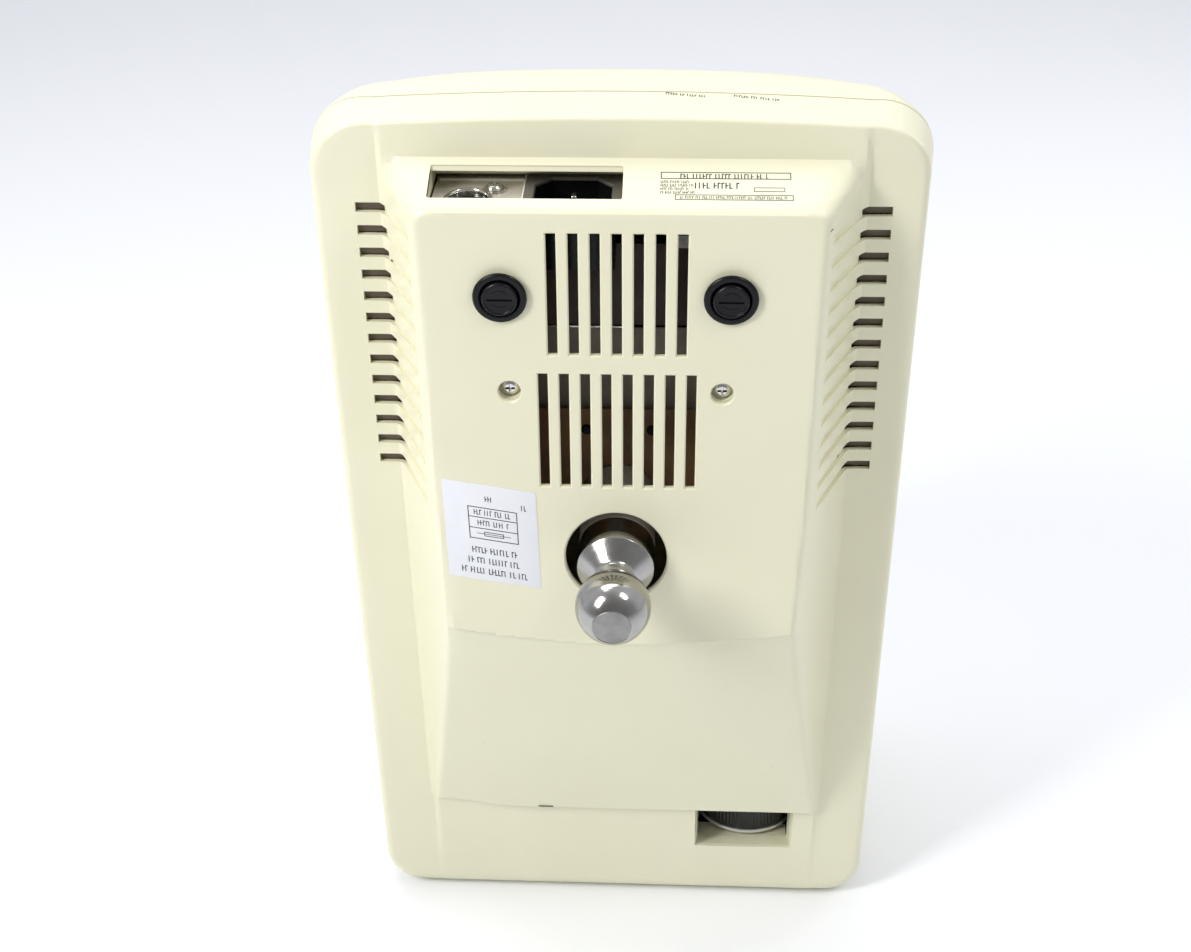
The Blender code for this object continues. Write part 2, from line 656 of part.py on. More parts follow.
def make_disks():
    chart_reach = math.dist(CHART_AXIS, (LENS_X, LENS_Y))
    mask_reach = math.dist(MASK_AXIS, (LENS_X, LENS_Y))
    disk_with_windows("chart_disk", CHART_AXIS, CHART_DISK_R, CHART_Z, chart_reach, 16, 3.6, ALUMINIUM)
    disk_with_windows("mask_disk", MASK_AXIS, MASK_DISK_R, MASK_Z, mask_reach, 12, 3.4, ALUMINIUM)
    for name, axis, body, shaft in (("chart", CHART_AXIS, (84.0, 105.7), (80.0, 120.6)),
                                    ("mask", MASK_AXIS, (136.3, 158.0), (121.4, 161.0))):
        centre = (*axis, 0)
        motor = tube(MOTOR_R, 2.9, *body)
        add_object(name + "_motor", turned(motor, centre, "z", 20), CORE)
        add_object(name + "_shaft", turned(rod(2.5, *shaft), centre, "z", 14), STEEL, axis=centre)


def make_illumination():
    centre = (LENS_X, LENS_Y, 0)
    barrel = [(12.9, 136.3), (18.0, 136.3), (18.0, 138.3), (15.4, 138.3), (15.4, 172), (12.9, 172)]
    add_object("condenser_barrel", turned(barrel, centre, "z", 20), ALUMINIUM)
    add_object("condenser_lens_front", turned(lens(12.6, 142.5, 144.5, 3.2), centre, "z", 24), GLASS)
    add_object("condenser_lens_rear", turned(lens(12.6, 154.5, 156.5, 3.2), centre, "z", 24), GLASS)
    add_object("heat_glass", turned(rod(12.6, 166, 168.5), centre, "z", 24), GLASS)
    house = add_object("lamp_house", boxes(((29.5, -11.6, 176), (72.5, 34.4, 236))), STEEL)
    bm = boxes(((30.5, -10.6, 177), (71.5, 33.4, 240)))
    add_turned(bm, rod(13.0, 170, 180), centre, "z", 24)
    cut(house, cutter("lamp_house_cutter", bm))
    dish = [(6.0, 212), (12.0, 206), (16.0, 196.5), (17.2, 187), (18.2, 187), (17.0, 196.8), (12.8, 207),
            (7.0, 213.2)]
    add_object("reflector", turned(dish, centre, "z", 20), CHROME)
    add_object("lamp", turned([(0, 191), (3.2, 192.5), (4.2, 195), (4.2, 210), (3.0, 214), (0, 214)],
                              centre, "z", 16), GLASS)
    add_object("lamp_socket", turned(rod(9.0, 214.4, 230), centre, "z", 20), CERAMIC)


def fan_vent(quarter):
    """One of the four curved openings between the spokes that hold the fan's motor."""
    start, end = math.radians(90 * quarter + 6), math.radians(90 * quarter + 84)
    steps = 6
    outline = []
    for radius, first, last in ((27.6, start, end), (12.5, end, start)):
        for i in range(steps + 1):
            angle = first + (last - first) * i / steps
            outline.append((FAN_X + radius * math.cos(angle), FAN_Y + radius * math.sin(angle)))
    return prism(outline, FAN_Z + 10, FAN_Z + 22)


def make_fan():
    half, depth = 30.0, 20.0
    low = (FAN_X - half, FAN_Y - half, FAN_Z)
    high = (FAN_X + half, FAN_Y + half, FAN_Z + depth)
    frame = add_object("fan_frame", boxes((low, high)), BLACK)
    hole = turned(rod(28.2, FAN_Z - 2, FAN_Z + depth - 3), (FAN_X, FAN_Y, 0), "z", 24)
    cut(frame, cutter("fan_hole", hole))
    cut(frame, *[cutter("fan_vent_%d" % quarter, fan_vent(quarter)) for quarter in range(4)])
    outline = []
    blades = 7
    for blade in range(blades):
        middle = 2 * math.pi * blade / blades
        for radius, offset in ((12.0, -0.34), (12.0, -0.12), (26.6, -0.16), (27.0, 0.16), (12.0, 0.12)):
            outline.append((FAN_X + radius * math.cos(middle + offset), FAN_Y + radius * math.sin(middle + offset)))
    add_object("fan_rotor", prism(outline, FAN_Z + 1.5, FAN_Z + 15.5), BLACK, axis=(FAN_X, FAN_Y, 0))


# ---------------------------------------------------------------- electrics

def make_transformer():
    x0, x1, z0, z1, y0, y1 = -37.0, 19.0, 234.0, 284.0, -3.0, 22.0
    outer = boxes(((x0, y0, z0), (x1, y1, z1)))
    core = add_object("transformer_core", outer, CORE)
    leg = (x0 + x1) / 2
    holes = boxes(((leg - 18, y0 - 3, z0 + 10), (leg - 8, y1 + 3, z1 - 10)),
                  ((leg + 8, y0 - 3, z0 + 10), (leg + 18, y1 + 3, z1 - 10)))
    cut(core, cutter("core_cutter", holes))
    coil = add_object("transformer_coil", boxes(((leg - 17.6, y0 - 8.4, z0 + 10.4), (leg + 17.6, y1 + 9, z1 - 10.4))),
                      COPPER)
    cut(coil, cutter("coil_cutter", boxes(((leg - 8.4, y0 - 0.4, z0), (leg + 8.4, y1 + 0.4, z1)))))


def make_boards():
    low, high = 58.0, 59.6
    board = add_object("main_board", boxes(((-84, low, 140), (10, high, 302))), GREEN)
    bm = bmesh.new()
    inside = low + 0.5
    for x, z, radius, height in ((-60, 284, 8, 18), (-42, 284, 6, 14), (-60, 262, 6, 14), (-10, 280, 5, 11)):
        add_turned(bm, rod(radius, -inside, height - low), (x, 0, z), "y", 14)
    for x0, x1, z0, z1, height in ((-60, -30, 196, 210, 4), (-62, -24, 225, 238, 4), (-20, 0, 170, 196, 9),
                                   (-80, -72, 180, 240, 8), (-20, 0, 210, 224, 3), (-56, -30, 164, 172, 7)):
        add_box(bm, (x0, low - height, z0), (x1, inside, z1))
    join(board, cutter("component_guide", bm))
    corners = [(x, z) for x in (-68, 6) for z in (146, 296)]
    for number, (x, z) in enumerate(corners, 1):
        post = turned(rod(3.0, GAP - low, -CHASSIS_Y[1] - GAP), (x, 0, z), "y", 6)
        add_object("board_post_%d" % number, post, STEEL)


def main():
    global SEAM
    clear_scene()
    SEAM = bpy.data.objects.new("seam_line", None)
    bpy.context.scene.collection.objects.link(SEAM)
    SEAM.location = (0, SEAM_TO_ORIGIN * MM, 0)
    make_base_shell()
    make_top_cover()
    make_case_screws()
    make_label()
    make_chassis()
    make_ball_stud()
    make_fuses()
    make_connector_panel()
    make_mains_inlet()
    make_signal_connector()
    make_front()
    make_projection_lens()
    make_optics_plates()
    make_disks()
    make_illumination()
    make_fan()
    make_transformer()
    make_boards()
    bpy.context.view_layer.update()


main()
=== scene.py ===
"""Looks of the eye-test chart projector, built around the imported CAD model.

Lengths are in millimetres from the case seam: +X to the right, +Y towards the top cover,
+Z from the lens end to the rear end.  "Depth" is the distance below the seam, along -Y.
"""
import json
import math
import random

import bmesh
import bpy
from mathutils import Matrix, Vector


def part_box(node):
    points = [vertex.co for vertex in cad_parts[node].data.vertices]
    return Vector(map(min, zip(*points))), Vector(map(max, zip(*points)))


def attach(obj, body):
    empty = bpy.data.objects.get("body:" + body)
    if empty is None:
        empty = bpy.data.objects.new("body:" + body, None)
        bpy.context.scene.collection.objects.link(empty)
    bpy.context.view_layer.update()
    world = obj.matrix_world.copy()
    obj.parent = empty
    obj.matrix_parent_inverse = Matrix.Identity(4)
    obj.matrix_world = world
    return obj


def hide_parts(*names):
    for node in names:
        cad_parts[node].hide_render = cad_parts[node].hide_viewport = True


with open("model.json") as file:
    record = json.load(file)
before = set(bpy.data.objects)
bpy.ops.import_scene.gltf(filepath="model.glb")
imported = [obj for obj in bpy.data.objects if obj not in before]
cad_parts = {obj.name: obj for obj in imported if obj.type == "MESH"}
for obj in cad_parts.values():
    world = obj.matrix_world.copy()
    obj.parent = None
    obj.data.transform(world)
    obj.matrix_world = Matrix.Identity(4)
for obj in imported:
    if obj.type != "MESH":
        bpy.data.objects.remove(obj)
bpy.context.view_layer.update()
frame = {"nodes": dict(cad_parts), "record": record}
MM = 0.001


def corners_of(node):
    """A CAD node's lowest and highest corners, in millimetres."""
    return [Vector(corner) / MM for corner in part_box(node)]


BASE_LOW, BASE_HIGH = corners_of("base_shell")
SEAM = BASE_HIGH.y                       # the seam's place along the frame's Y
HALF_WIDTH = BASE_HIGH.x
LENGTH = BASE_HIGH.z
CREST_DEPTH = SEAM - BASE_LOW.y
COVER_TOP = corners_of("top_cover")[1].y - SEAM
COVER_WALL, BASE_WALL = 2.4, 1.8

# Base shell
RIM = 20.7
DRAFT = 2.6
ROUND_SIDE, ROUND_FRONT, ROUND_REAR = 3.0, 8.0, 1.6
REAR_BOW, BOW_CROWN = 3.75, 1.7          # sag of the rear end at its corners, and its height over LENGTH
SEAM_GAP = 0.45                          # half of the gap between the two case parts
CORNER_FRONT, CORNER_REAR = 12.0, 14.0
BODY_SHIFT = 1.3                         # the raised body stands a little right of the middle
STEP_Z, STEP_CURL = 51.6, 3.6            # the step, and how much its left end curls up
WEDGE_FOOT = 24.0
CREST_Z, CREST_RISE = 165.7, 6.0
EDGE_HALF = 62.5
CREST_LIP, CREST_LIP_REACH = 1.1, 9.0    # hollow just below the crest, and how far it fades
FACE_REAR_Z, FACE_REAR_DEPTH = 323.0, 43.7
FACE_LEAN = (CREST_DEPTH - FACE_REAR_DEPTH) / (FACE_REAR_Z - CREST_Z)
END_Z, END_SLOPE = 330.8, 2.95
FLANK_SLOPE, FLANK_FOOT = 1.94, 76.1     # at the rear; both grow by the next line towards the front
FLANK_SLOPE_GAIN, FLANK_FOOT_GAIN, FLANK_SPAN = 0.20, 1.2, 96.0
PAD_HALF, PAD_FRONT, PAD_REAR = 76.8, 1.3, 2.0
CREST_BLEND, EDGE_BLEND, END_BLEND, STEP_BLEND, FOOT_BLEND = 0.2, 3.8, 15.0, 0.5, 2.4

# Openings
LOUVRES, LOUVRE_PITCH, LOUVRE_TOP, LOUVRE_HEIGHT = 13, 8.0, 314.7, 3.4
LOUVRE_X = (75.7, 85.4)
GROOVE_END_X, GROOVE_DEPTH = 66.0, 0.85
SLOT_PITCH, SLOT_WIDTH = 6.8, 3.15
SLOT_ROWS = ((7, 275.2, 315.8), (8, 227.8, 268.6))
SLOT_SHIFT = 0.5
RECESS_X, RECESS_DEPTH = (-58.2, 2.0), (24.8, 38.4)
WINDOW_X, WINDOW_Z = (30.0, 68.4), (29.4, 50.6)
BALL_HOLE, FUSE_HOLE, SCREW_HOLE = 17.1, 7.4, 3.7
WINDOW_STEPS = ((32, -0.5, -0.5), (RIM + 1.0, -0.4, -0.3), (RIM - 1.3, 0.4, -0.5))   # depth, side, rise
WINDOW_INNER, WINDOW_SHELF = (1.0, -1.8), -2.6

# Top cover
COVER_STRAIGHT, COVER_END_ANGLE = 12.0, 84.0
COVER_SIDE, COVER_REAR, COVER_FRONT = 28.0, 78.0, 10.0
COVER_CORNER, COVER_CORNER_REACH = 7.0, 60.0
COVER_CROWN = 1.4

# Ball stud, as radii and depths
STUD_FACE_R, BALL_R, NECK_R, STUD_R = 6.6, 12.4, 6.3, 12.9
STUD_LOW, SHANK_END = 17.6, 49.5

# Boards behind the grille: name, look, x, x, distance in front of the chassis plate, z, z
BOARDS = (("board_upper", "brown", -34.0, 34.0, 1.3, 268.2, 298.4),
          ("board_middle", "greyboard", -34.0, 36.0, 1.3, 230.0, 267.2),
          ("board_edge", "bright", -34.0, 2.0, 1.9, 267.3, 268.1),
          ("board_lower", "amber", -34.0, 36.0, 4.2, 192.0, 236.6),
          ("board_right", "ceramic", 18.6, 23.6, 2.4, 297.4, 301.8))
BOARD_THICKNESS, RIVET_X, RIVET_Z = 0.8, (-11.4, 11.2), 228.6

# Marks on the underside: the chip's corners as (x, z), and each speck's x, z and size
CHIP = ((-33.4, 52.3), (-27.4, 52.3), (-28.6, 50.0))
SPECKS = ((74.6, 226, 0.28), (-73.0, 296, 0.5), (66.0, 317, 0.45), (-52, 98, 0.18), (58, 86, 0.16))


def centre_of(node):
    """The middle of a CAD node, in millimetres from the seam."""
    low, high = corners_of(node)
    middle = (low + high) / 2
    return Vector((middle.x, middle.y - SEAM, middle.z))


BALL = centre_of("ball_stud")
FUSES = {side: centre_of("fuse_holder_" + side) for side in ("left", "right")}
SCREWS = {side: centre_of("case_screw_" + side) for side in ("left", "right")}
RING = centre_of("focus_ring")
RING_LEDGE = 1.9                         # how far the ring's rim reaches below its node
RING_FRONT = SEAM - corners_of("focus_ring")[0].y
INLET = centre_of("mains_inlet")
SIGNAL = centre_of("signal_connector")
EARTH = centre_of("earth_screw")
LENS = centre_of("lens_bezel")
PANEL_LOW, PANEL_FACE = corners_of("connector_panel")[0].y - SEAM, corners_of("connector_panel")[1].z
BALL_END = SEAM - corners_of("ball_stud")[0].y
CHASSIS_FRONT = corners_of("chassis_plate")[0].y - SEAM


# ---- materials

def set_stops(ramp, stops):
    """Gives a colour ramp its (position, colour) stops."""
    while len(ramp.elements) < len(stops):
        ramp.elements.new(0.5)
    for element, (position, color) in zip(ramp.elements, stops):
        element.position = position
        element.color = (*color, 1.0)


class Nodes:
    """A short way to write a material's node tree."""

    def __init__(self, name):
        self.material = bpy.data.materials.new(name)
        self.material.use_nodes = True
        self.tree = self.material.node_tree
        self.shader = self.tree.nodes["Principled BSDF"]

    def add(self, kind, **sockets):
        node = self.tree.nodes.new(kind)
        for name, value in sockets.items():
            node.inputs[name.replace("_", " ")].default_value = value
        return node

    def link(self, source, target):
        self.tree.links.new(source, target)

    def place(self, stretch=(1, 1, 1), offset=(0, 0, 0)):
        """Object coordinates, stretched and moved."""
        coordinates = self.add("ShaderNodeTexCoord")
        mapping = self.add("ShaderNodeMapping", Scale=stretch, Location=offset)
        self.link(coordinates.outputs["Object"], mapping.inputs["Vector"])
        return mapping.outputs["Vector"]

    def noise(self, scale, detail=3.0, stretch=(1, 1, 1), roughness=0.55):
        node = self.add("ShaderNodeTexNoise", Scale=scale, Detail=detail, Roughness=roughness)
        self.link(self.place(stretch), node.inputs["Vector"])
        return node.outputs["Fac"]

    def ramp(self, factor, stops):
        node = self.add("ShaderNodeValToRGB")
        set_stops(node.color_ramp, stops)
        self.link(factor, node.inputs["Fac"])
        return node.outputs["Color"]

    def span(self, factor, low, high, start=0.3, end=0.7):
        node = self.add("ShaderNodeMapRange")
        for name, value in (("From Min", start), ("From Max", end), ("To Min", low), ("To Max", high)):
            node.inputs[name].default_value = value
        self.link(factor, node.inputs["Value"])
        return node.outputs["Result"]

    def bump(self, height, strength, distance):
        node = self.add("ShaderNodeBump", Strength=strength, Distance=distance)
        self.link(height, node.inputs["Height"])
        return node.outputs["Normal"]


def finish(name, light, dark, rough, metallic=0.0, patch=25.0, grain=2200.0, relief=0.15,
           stretch=(1, 1, 1), depth=0.00012, coat=0.0):
    """A finish with patchy colour, uneven gloss and a fine surface grain."""
    nodes = Nodes(name)
    color = nodes.ramp(nodes.noise(patch, 4.0, stretch), ((0.32, dark), (0.68, light)))
    nodes.link(color, nodes.shader.inputs["Base Color"])
    nodes.link(nodes.span(nodes.noise(patch * 3.0, 5.0, stretch), *rough), nodes.shader.inputs["Roughness"])
    nodes.link(nodes.bump(nodes.noise(grain, 2.0, stretch), relief, depth), nodes.shader.inputs["Normal"])
    nodes.shader.inputs["Metallic"].default_value = metallic
    nodes.shader.inputs["Coat Weight"].default_value = coat
    return nodes


def turned_metal():
    """Turned stainless steel: fine rings round the stud's axis, stretched highlights and uneven gloss."""
    nodes = finish("turned_stainless", (0.45, 0.435, 0.415), (0.36, 0.35, 0.335), (0.11, 0.19), metallic=1.0,
                   patch=120.0)
    wave = nodes.add("ShaderNodeTexWave", Scale=900.0, Distortion=0.6, Detail=2.0, Detail_Scale=2.0)
    wave.wave_type = "RINGS"
    wave.rings_direction = "Y"
    nodes.link(nodes.place(offset=(-BALL.x * MM, 0, -BALL.z * MM)), wave.inputs["Vector"])
    nodes.link(nodes.bump(wave.outputs["Fac"], 0.12, 0.00003), nodes.shader.inputs["Normal"])
    tangent = nodes.add("ShaderNodeTangent")
    tangent.direction_type = "RADIAL"
    tangent.axis = "Y"
    nodes.link(tangent.outputs["Tangent"], nodes.shader.inputs["Tangent"])
    nodes.shader.inputs["Anisotropic"].default_value = 0.55
    return nodes


# Plain finishes: look, name, light and dark colour, roughness, and what else differs
FINISHES = (
    ("cream", "cream_abs", (0.830, 0.806, 0.602), (0.790, 0.762, 0.556), (0.30, 0.40),
     dict(patch=9.0, grain=1500.0, relief=0.10)),
    # shade: near-black brown, painted shade for the gap at the seam and the insides of the louvres
    ("shade", "painted_shade_plastic", (0.15, 0.12, 0.085), (0.11, 0.085, 0.06), (0.5, 0.6), {}),
    # chip: near-black; painted shade on the chip's notch, dirt on the specks
    ("chip", "painted_chip_shade_and_dirt", (0.012, 0.011, 0.010), (0.006, 0.006, 0.005), (0.6, 0.75), {}),
    ("tape", "winding_tape", (0.15, 0.12, 0.10), (0.085, 0.055, 0.04), (0.3, 0.5),
     dict(patch=45.0, relief=0.3)),
    ("brown", "brown_board", (0.115, 0.068, 0.056), (0.075, 0.045, 0.038), (0.35, 0.5), dict(patch=60.0)),
    ("greyboard", "grey_board", (0.42, 0.36, 0.29), (0.30, 0.255, 0.205), (0.4, 0.55),
     dict(patch=60.0, stretch=(4, 1, 1))),
    ("amber", "amber_board", (0.56, 0.33, 0.15), (0.20, 0.11, 0.07), (0.3, 0.45), dict(patch=26.0)),
    ("black", "black_plastic", (0.008, 0.008, 0.009), (0.004, 0.004, 0.005), (0.22, 0.32), {}),
    ("ring", "focus_ring_black", (0.012, 0.012, 0.013), (0.006, 0.006, 0.007), (0.38, 0.5), {}),
    ("plate", "zinc_plate", (0.66, 0.63, 0.57), (0.54, 0.51, 0.46), (0.36, 0.5),
     dict(metallic=1.0, stretch=(1, 6, 6), patch=70.0, grain=900.0, relief=0.08)),
    ("faced", "faced_stainless", (0.34, 0.33, 0.32), (0.25, 0.245, 0.24), (0.34, 0.46),
     dict(metallic=1.0, patch=160.0, relief=0.3)),
    # shank: near-white and barely metallic, painted light that brightens the stud's base in its dark hole
    ("shank", "stainless_painted_light", (0.92, 0.87, 0.80), (0.84, 0.79, 0.73), (0.3, 0.4),
     dict(metallic=0.1, patch=90.0)),
    ("panel", "brushed_panel", (0.68, 0.63, 0.54), (0.56, 0.52, 0.44), (0.34, 0.46),
     dict(metallic=0.25, stretch=(1, 8, 1), patch=120.0, relief=0.2)),
    ("anodised", "black_anodised", (0.022, 0.022, 0.024), (0.014, 0.014, 0.015), (0.35, 0.5),
     dict(metallic=0.7)),
    ("bright", "bright_nickel", (0.78, 0.77, 0.74), (0.66, 0.65, 0.62), (0.08, 0.2),
     dict(metallic=1.0, patch=180.0)),
    ("silver", "satin_silver", (0.80, 0.80, 0.79), (0.68, 0.68, 0.67), (0.3, 0.4), dict(metallic=0.6)),
    ("grey", "grey_plastic", (0.145, 0.132, 0.108), (0.112, 0.102, 0.084), (0.35, 0.45), {}),
    ("paper", "label_paper", (0.86, 0.865, 0.90), (0.81, 0.815, 0.85), (0.45, 0.6), dict(patch=40.0)),
    ("ink", "printed_ink", (0.045, 0.045, 0.05), (0.03, 0.03, 0.034), (0.5, 0.65), {}),
    ("board", "circuit_board", (0.02, 0.16, 0.075), (0.012, 0.10, 0.05), (0.3, 0.5),
     dict(patch=300.0, relief=0.4)),
    ("core", "core_steel", (0.10, 0.065, 0.045), (0.045, 0.032, 0.025), (0.4, 0.6),
     dict(metallic=0.5, stretch=(1, 12, 1))),
    ("ceramic", "ceramic", (0.80, 0.78, 0.72), (0.70, 0.68, 0.62), (0.55, 0.7), {}),
    ("glass", "optical_glass", (0.93, 0.96, 0.97), (0.8649, 0.8928, 0.9021), (0.02, 0.06),
     dict(patch=60.0, relief=0.02)),
    ("red_window", "infrared_red", (0.05, 0.004, 0.006), (0.03, 0.003, 0.004), (0.05, 0.1), dict(coat=0.6)),
)


def make_materials():
    """One material for each look, kept by the look's name."""
    looks = {look: finish(name, light, dark, rough, **more)
             for look, name, light, dark, rough, more in FINISHES}
    looks["stud"] = turned_metal()
    looks["black"].shader.inputs["Specular IOR Level"].default_value = 0.22
    looks["glass"].shader.inputs["Transmission Weight"].default_value = 0.92
    looks["glass"].shader.inputs["IOR"].default_value = 1.5
    return {look: nodes.material for look, nodes in looks.items()}


LOOKS = make_materials()


# ---- mesh tools

def piece_from(bm, name, look, body="case", slot="cream_abs", node=None, smooth=32.0):
    """Makes a piece of the scene from a bmesh in millimetres from the seam."""
    bmesh.ops.recalc_face_normals(bm, faces=bm.faces)
    bmesh.ops.transform(bm, matrix=Matrix.Scale(MM, 4) @ Matrix.Translation((0, SEAM, 0)), verts=bm.verts)
    mesh = bpy.data.meshes.new(name)
    bm.to_mesh(mesh)
    bm.free()
    obj = bpy.data.objects.new(name, mesh)
    bpy.context.scene.collection.objects.link(obj)
    mesh.shade_smooth()
    mesh.set_sharp_from_angle(angle=math.radians(smooth))
    if look:
        mesh.materials.append(LOOKS[look])
    if body:
        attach(obj, body)
    if node:
        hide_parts(node)
    return obj


def cut_with(obj, tool, smooth=32.0):
    """Cuts a tool out of a piece, leaves the result in the piece's mesh, and deletes the tool."""
    mod = obj.modifiers.new(tool.name, "BOOLEAN")
    mod.operation = "DIFFERENCE"
    mod.solver = "EXACT"
    mod.object = tool
    bpy.context.view_layer.update()
    evaluated = obj.evaluated_get(bpy.context.evaluated_depsgraph_get())
    mesh = bpy.data.meshes.new_from_object(evaluated)
    obj.modifiers.clear()
    obj.data = mesh
    mesh.shade_smooth()
    mesh.set_sharp_from_angle(angle=math.radians(smooth))
    bpy.data.objects.remove(tool, do_unlink=True)


def tool_from(bm, name):
    """A cutter: a piece with no finish that rides on nothing."""
    return piece_from(bm, name, None, body=None)


def along(centre, axis, a, b, height):
    """A point across (a, b) and up an axis through centre.  On "y" the height is a depth."""
    if axis == "z":
        return (centre[0] + a, centre[1] + b, height)
    return (centre[0] + a, -height, centre[2] + b)


def turn(bm, profile, centre, axis="z", segments=96, wobble=None):
    """Turns a closed profile of (radius, height) points.  wobble(angle, radius) changes the radius."""
    rings = []
    for radius, height in profile:
        if radius < 1e-6:
            rings.append([bm.verts.new(along(centre, axis, 0, 0, height))])
            continue
        ring = []
        for i in range(segments):
            angle = 2 * math.pi * i / segments
            r = wobble(angle, radius) if wobble else radius
            ring.append(bm.verts.new(along(centre, axis, r * math.cos(angle), r * math.sin(angle), height)))
        rings.append(ring)
    for low, high in zip(rings, rings[1:] + rings[:1]):
        if len(low) == 1 and len(high) == 1:
            continue
        for i in range(segments):
            j = (i + 1) % segments
            corners = (low[i % len(low)], low[j % len(low)], high[j % len(high)], high[i % len(high)])
            bm.faces.new(list(dict.fromkeys(corners)))
    return bm


def softened(profile, radius=0.25, steps=3):
    """Rounds every corner of a closed profile that isn't on the axis."""
    result = []
    count = len(profile)
    for i, point in enumerate(profile):
        here = Vector(point)
        before, after = Vector(profile[i - 1]) - here, Vector(profile[(i + 1) % count]) - here
        if point[0] < 1e-6 or min(before.length, after.length) < 1e-6:
            result.append(tuple(here))
            continue
        reach = min(radius, before.length * 0.45, after.length * 0.45)
        start, end = here + before.normalized() * reach, here + after.normalized() * reach
        for k in range(steps + 1):
            t = k / steps
            result.append(tuple(start * (1 - t) ** 2 + here * 2 * t * (1 - t) + end * t * t))
    return result


def rounded_box(bm, low, high, radius=0.3, segments=2):
    """A box with rounded edges."""
    verts = [bm.verts.new((x, y, z)) for x in (low[0], high[0]) for y in (low[1], high[1])
             for z in (low[2], high[2])]
    faces = [bm.faces.new([verts[i] for i in quad]) for quad in
             ((0, 1, 3, 2), (4, 6, 7, 5), (0, 4, 5, 1), (2, 3, 7, 6), (0, 2, 6, 4), (1, 5, 7, 3))]
    if radius:
        edges = list({edge for face in faces for edge in face.edges})
        bmesh.ops.bevel(bm, geom=edges, offset=radius, segments=segments, affect="EDGES", profile=0.5)
    return bm


def bridge(bm, low, high):
    """Joins two closed rings of vertices with faces."""
    for i in range(len(low)):
        j = (i + 1) % len(low)
        bm.faces.new((low[i], low[j], high[j], high[i]))


def loft(bm, loops):
    """A closed body through loops of points of the same length."""
    rings = [[bm.verts.new(p) for p in loop] for loop in loops]
    for low, high in zip(rings, rings[1:]):
        bridge(bm, low, high)
    bm.faces.new(rings[0])
    bm.faces.new(rings[-1])
    return bm


def slab(bm, corners, thickness):
    """A flat plate: a polygon of points, thickened along its own normal."""
    points = [Vector(c) for c in corners]
    normal = (points[1] - points[0]).cross(points[2] - points[0]).normalized() * thickness
    return loft(bm, [points, [p + normal for p in points]])


def column(bm, outline, levels):
    """A closed body of one outline of (x, y) points, from level to level along Z."""
    return loft(bm, [[(x, y, level) for x, y in outline] for level in levels])


def turned(name, look, profile, radius, centre, axis="y", segments=96, **how):
    """A piece turned from a profile whose corners are rounded to the radius."""
    return piece_from(turn(bmesh.new(), softened(profile, radius), centre, axis, segments), name, look, **how)


def round_outline(x0, x1, y0, y1, radius, steps=5):
    """A rectangle with rounded corners, as (a, b) points."""
    points = []
    for cx, cy, start in ((x1 - radius, y0 + radius, -90), (x1 - radius, y1 - radius, 0),
                          (x0 + radius, y1 - radius, 90), (x0 + radius, y0 + radius, 180)):
        for i in range(steps + 1):
            angle = math.radians(start + 90 * i / steps)
            points.append((cx + radius * math.cos(angle), cy + radius * math.sin(angle)))
    return points


# ---- the underside's surface

def smooth_min(a, b, blend):
    """The lower of two heights, with a fillet of about the blend's width where they meet."""
    h = min(1.0, max(0.0, 0.5 + 0.5 * (b - a) / blend))
    return b * (1 - h) + a * h - blend * h * (1 - h)


def smooth_max(a, b, blend):
    return -smooth_min(-a, -b, blend)


def step_up(value, start, end):
    """Rises smoothly from 0 at start to 1 at end."""
    t = min(1.0, max(0.0, (value - start) / (end - start)))
    return t * t * (3 - 2 * t)


def face_depth(z):
    """Depth of the plateau's face, which leans towards the crest."""
    return FACE_REAR_DEPTH + (FACE_REAR_Z - z) * FACE_LEAN


def flank_depth(x, z):
    """Depth of the plateau's sloped flank, which gets a little steeper and wider towards the front."""
    low_part = min(1.0, max(0.0, (LOUVRE_TOP - 0.1 - z) / FLANK_SPAN))
    slope = FLANK_SLOPE + FLANK_SLOPE_GAIN * low_part
    foot = FLANK_FOOT + FLANK_FOOT_GAIN * low_part
    return RIM + slope * (foot - abs(x))


def underside_depth(plan_x, z):
    """Depth of the shell's outer surface below the seam, over its whole plan."""
    x = plan_x - BODY_SHIFT
    crest = CREST_Z + CREST_RISE * (x / EDGE_HALF) ** 2
    step = STEP_Z + STEP_CURL * step_up(-x, 45, 74)
    share = (z - step) / (crest - step)
    wedge = WEDGE_FOOT + (face_depth(crest) - WEDGE_FOOT) * share
    below = crest - z
    if below > 0:
        wedge -= CREST_LIP * math.exp(-below / CREST_LIP_REACH) * min(1.0, below / 0.8)
    top = smooth_min(face_depth(z), wedge, CREST_BLEND)
    end = RIM + (END_Z - z) * END_SLOPE
    sides = smooth_min(flank_depth(x, z), end, END_BLEND)
    body = smooth_min(top, sides, EDGE_BLEND)
    body = smooth_min(body, WEDGE_FOOT + (z - step + 0.2) * 5.0, STEP_BLEND)
    front_pad = PAD_FRONT * min(1.0, max(0.0, z / STEP_Z))
    rear_pad = PAD_REAR * min(1.0, max(0.0, (LENGTH - z) / 12.0))
    pad = front_pad + (rear_pad - front_pad) * step_up(z, 150, 250)
    base = RIM + pad * (1 - step_up(abs(x), PAD_HALF - 1.5, PAD_HALF + 0.8))
    return smooth_max(base, body, FOOT_BLEND)


BORDER_HALF = HALF_WIDTH - DRAFT - ROUND_SIDE
BORDER_LOW = ROUND_FRONT
BORDER_TOP = LENGTH + BOW_CROWN - REAR_BOW - ROUND_REAR


def border_half(z):
    """Half width of the flat underside's border at a height, with its round corners."""
    for end, radius, sign in ((BORDER_LOW, CORNER_FRONT, 1), (BORDER_TOP, CORNER_REAR, -1)):
        share = 1 - sign * (z - end) / radius
        if share > 0:
            return BORDER_HALF - radius * (1 - math.sqrt(max(0.0, 1 - share * share)))
    return BORDER_HALF


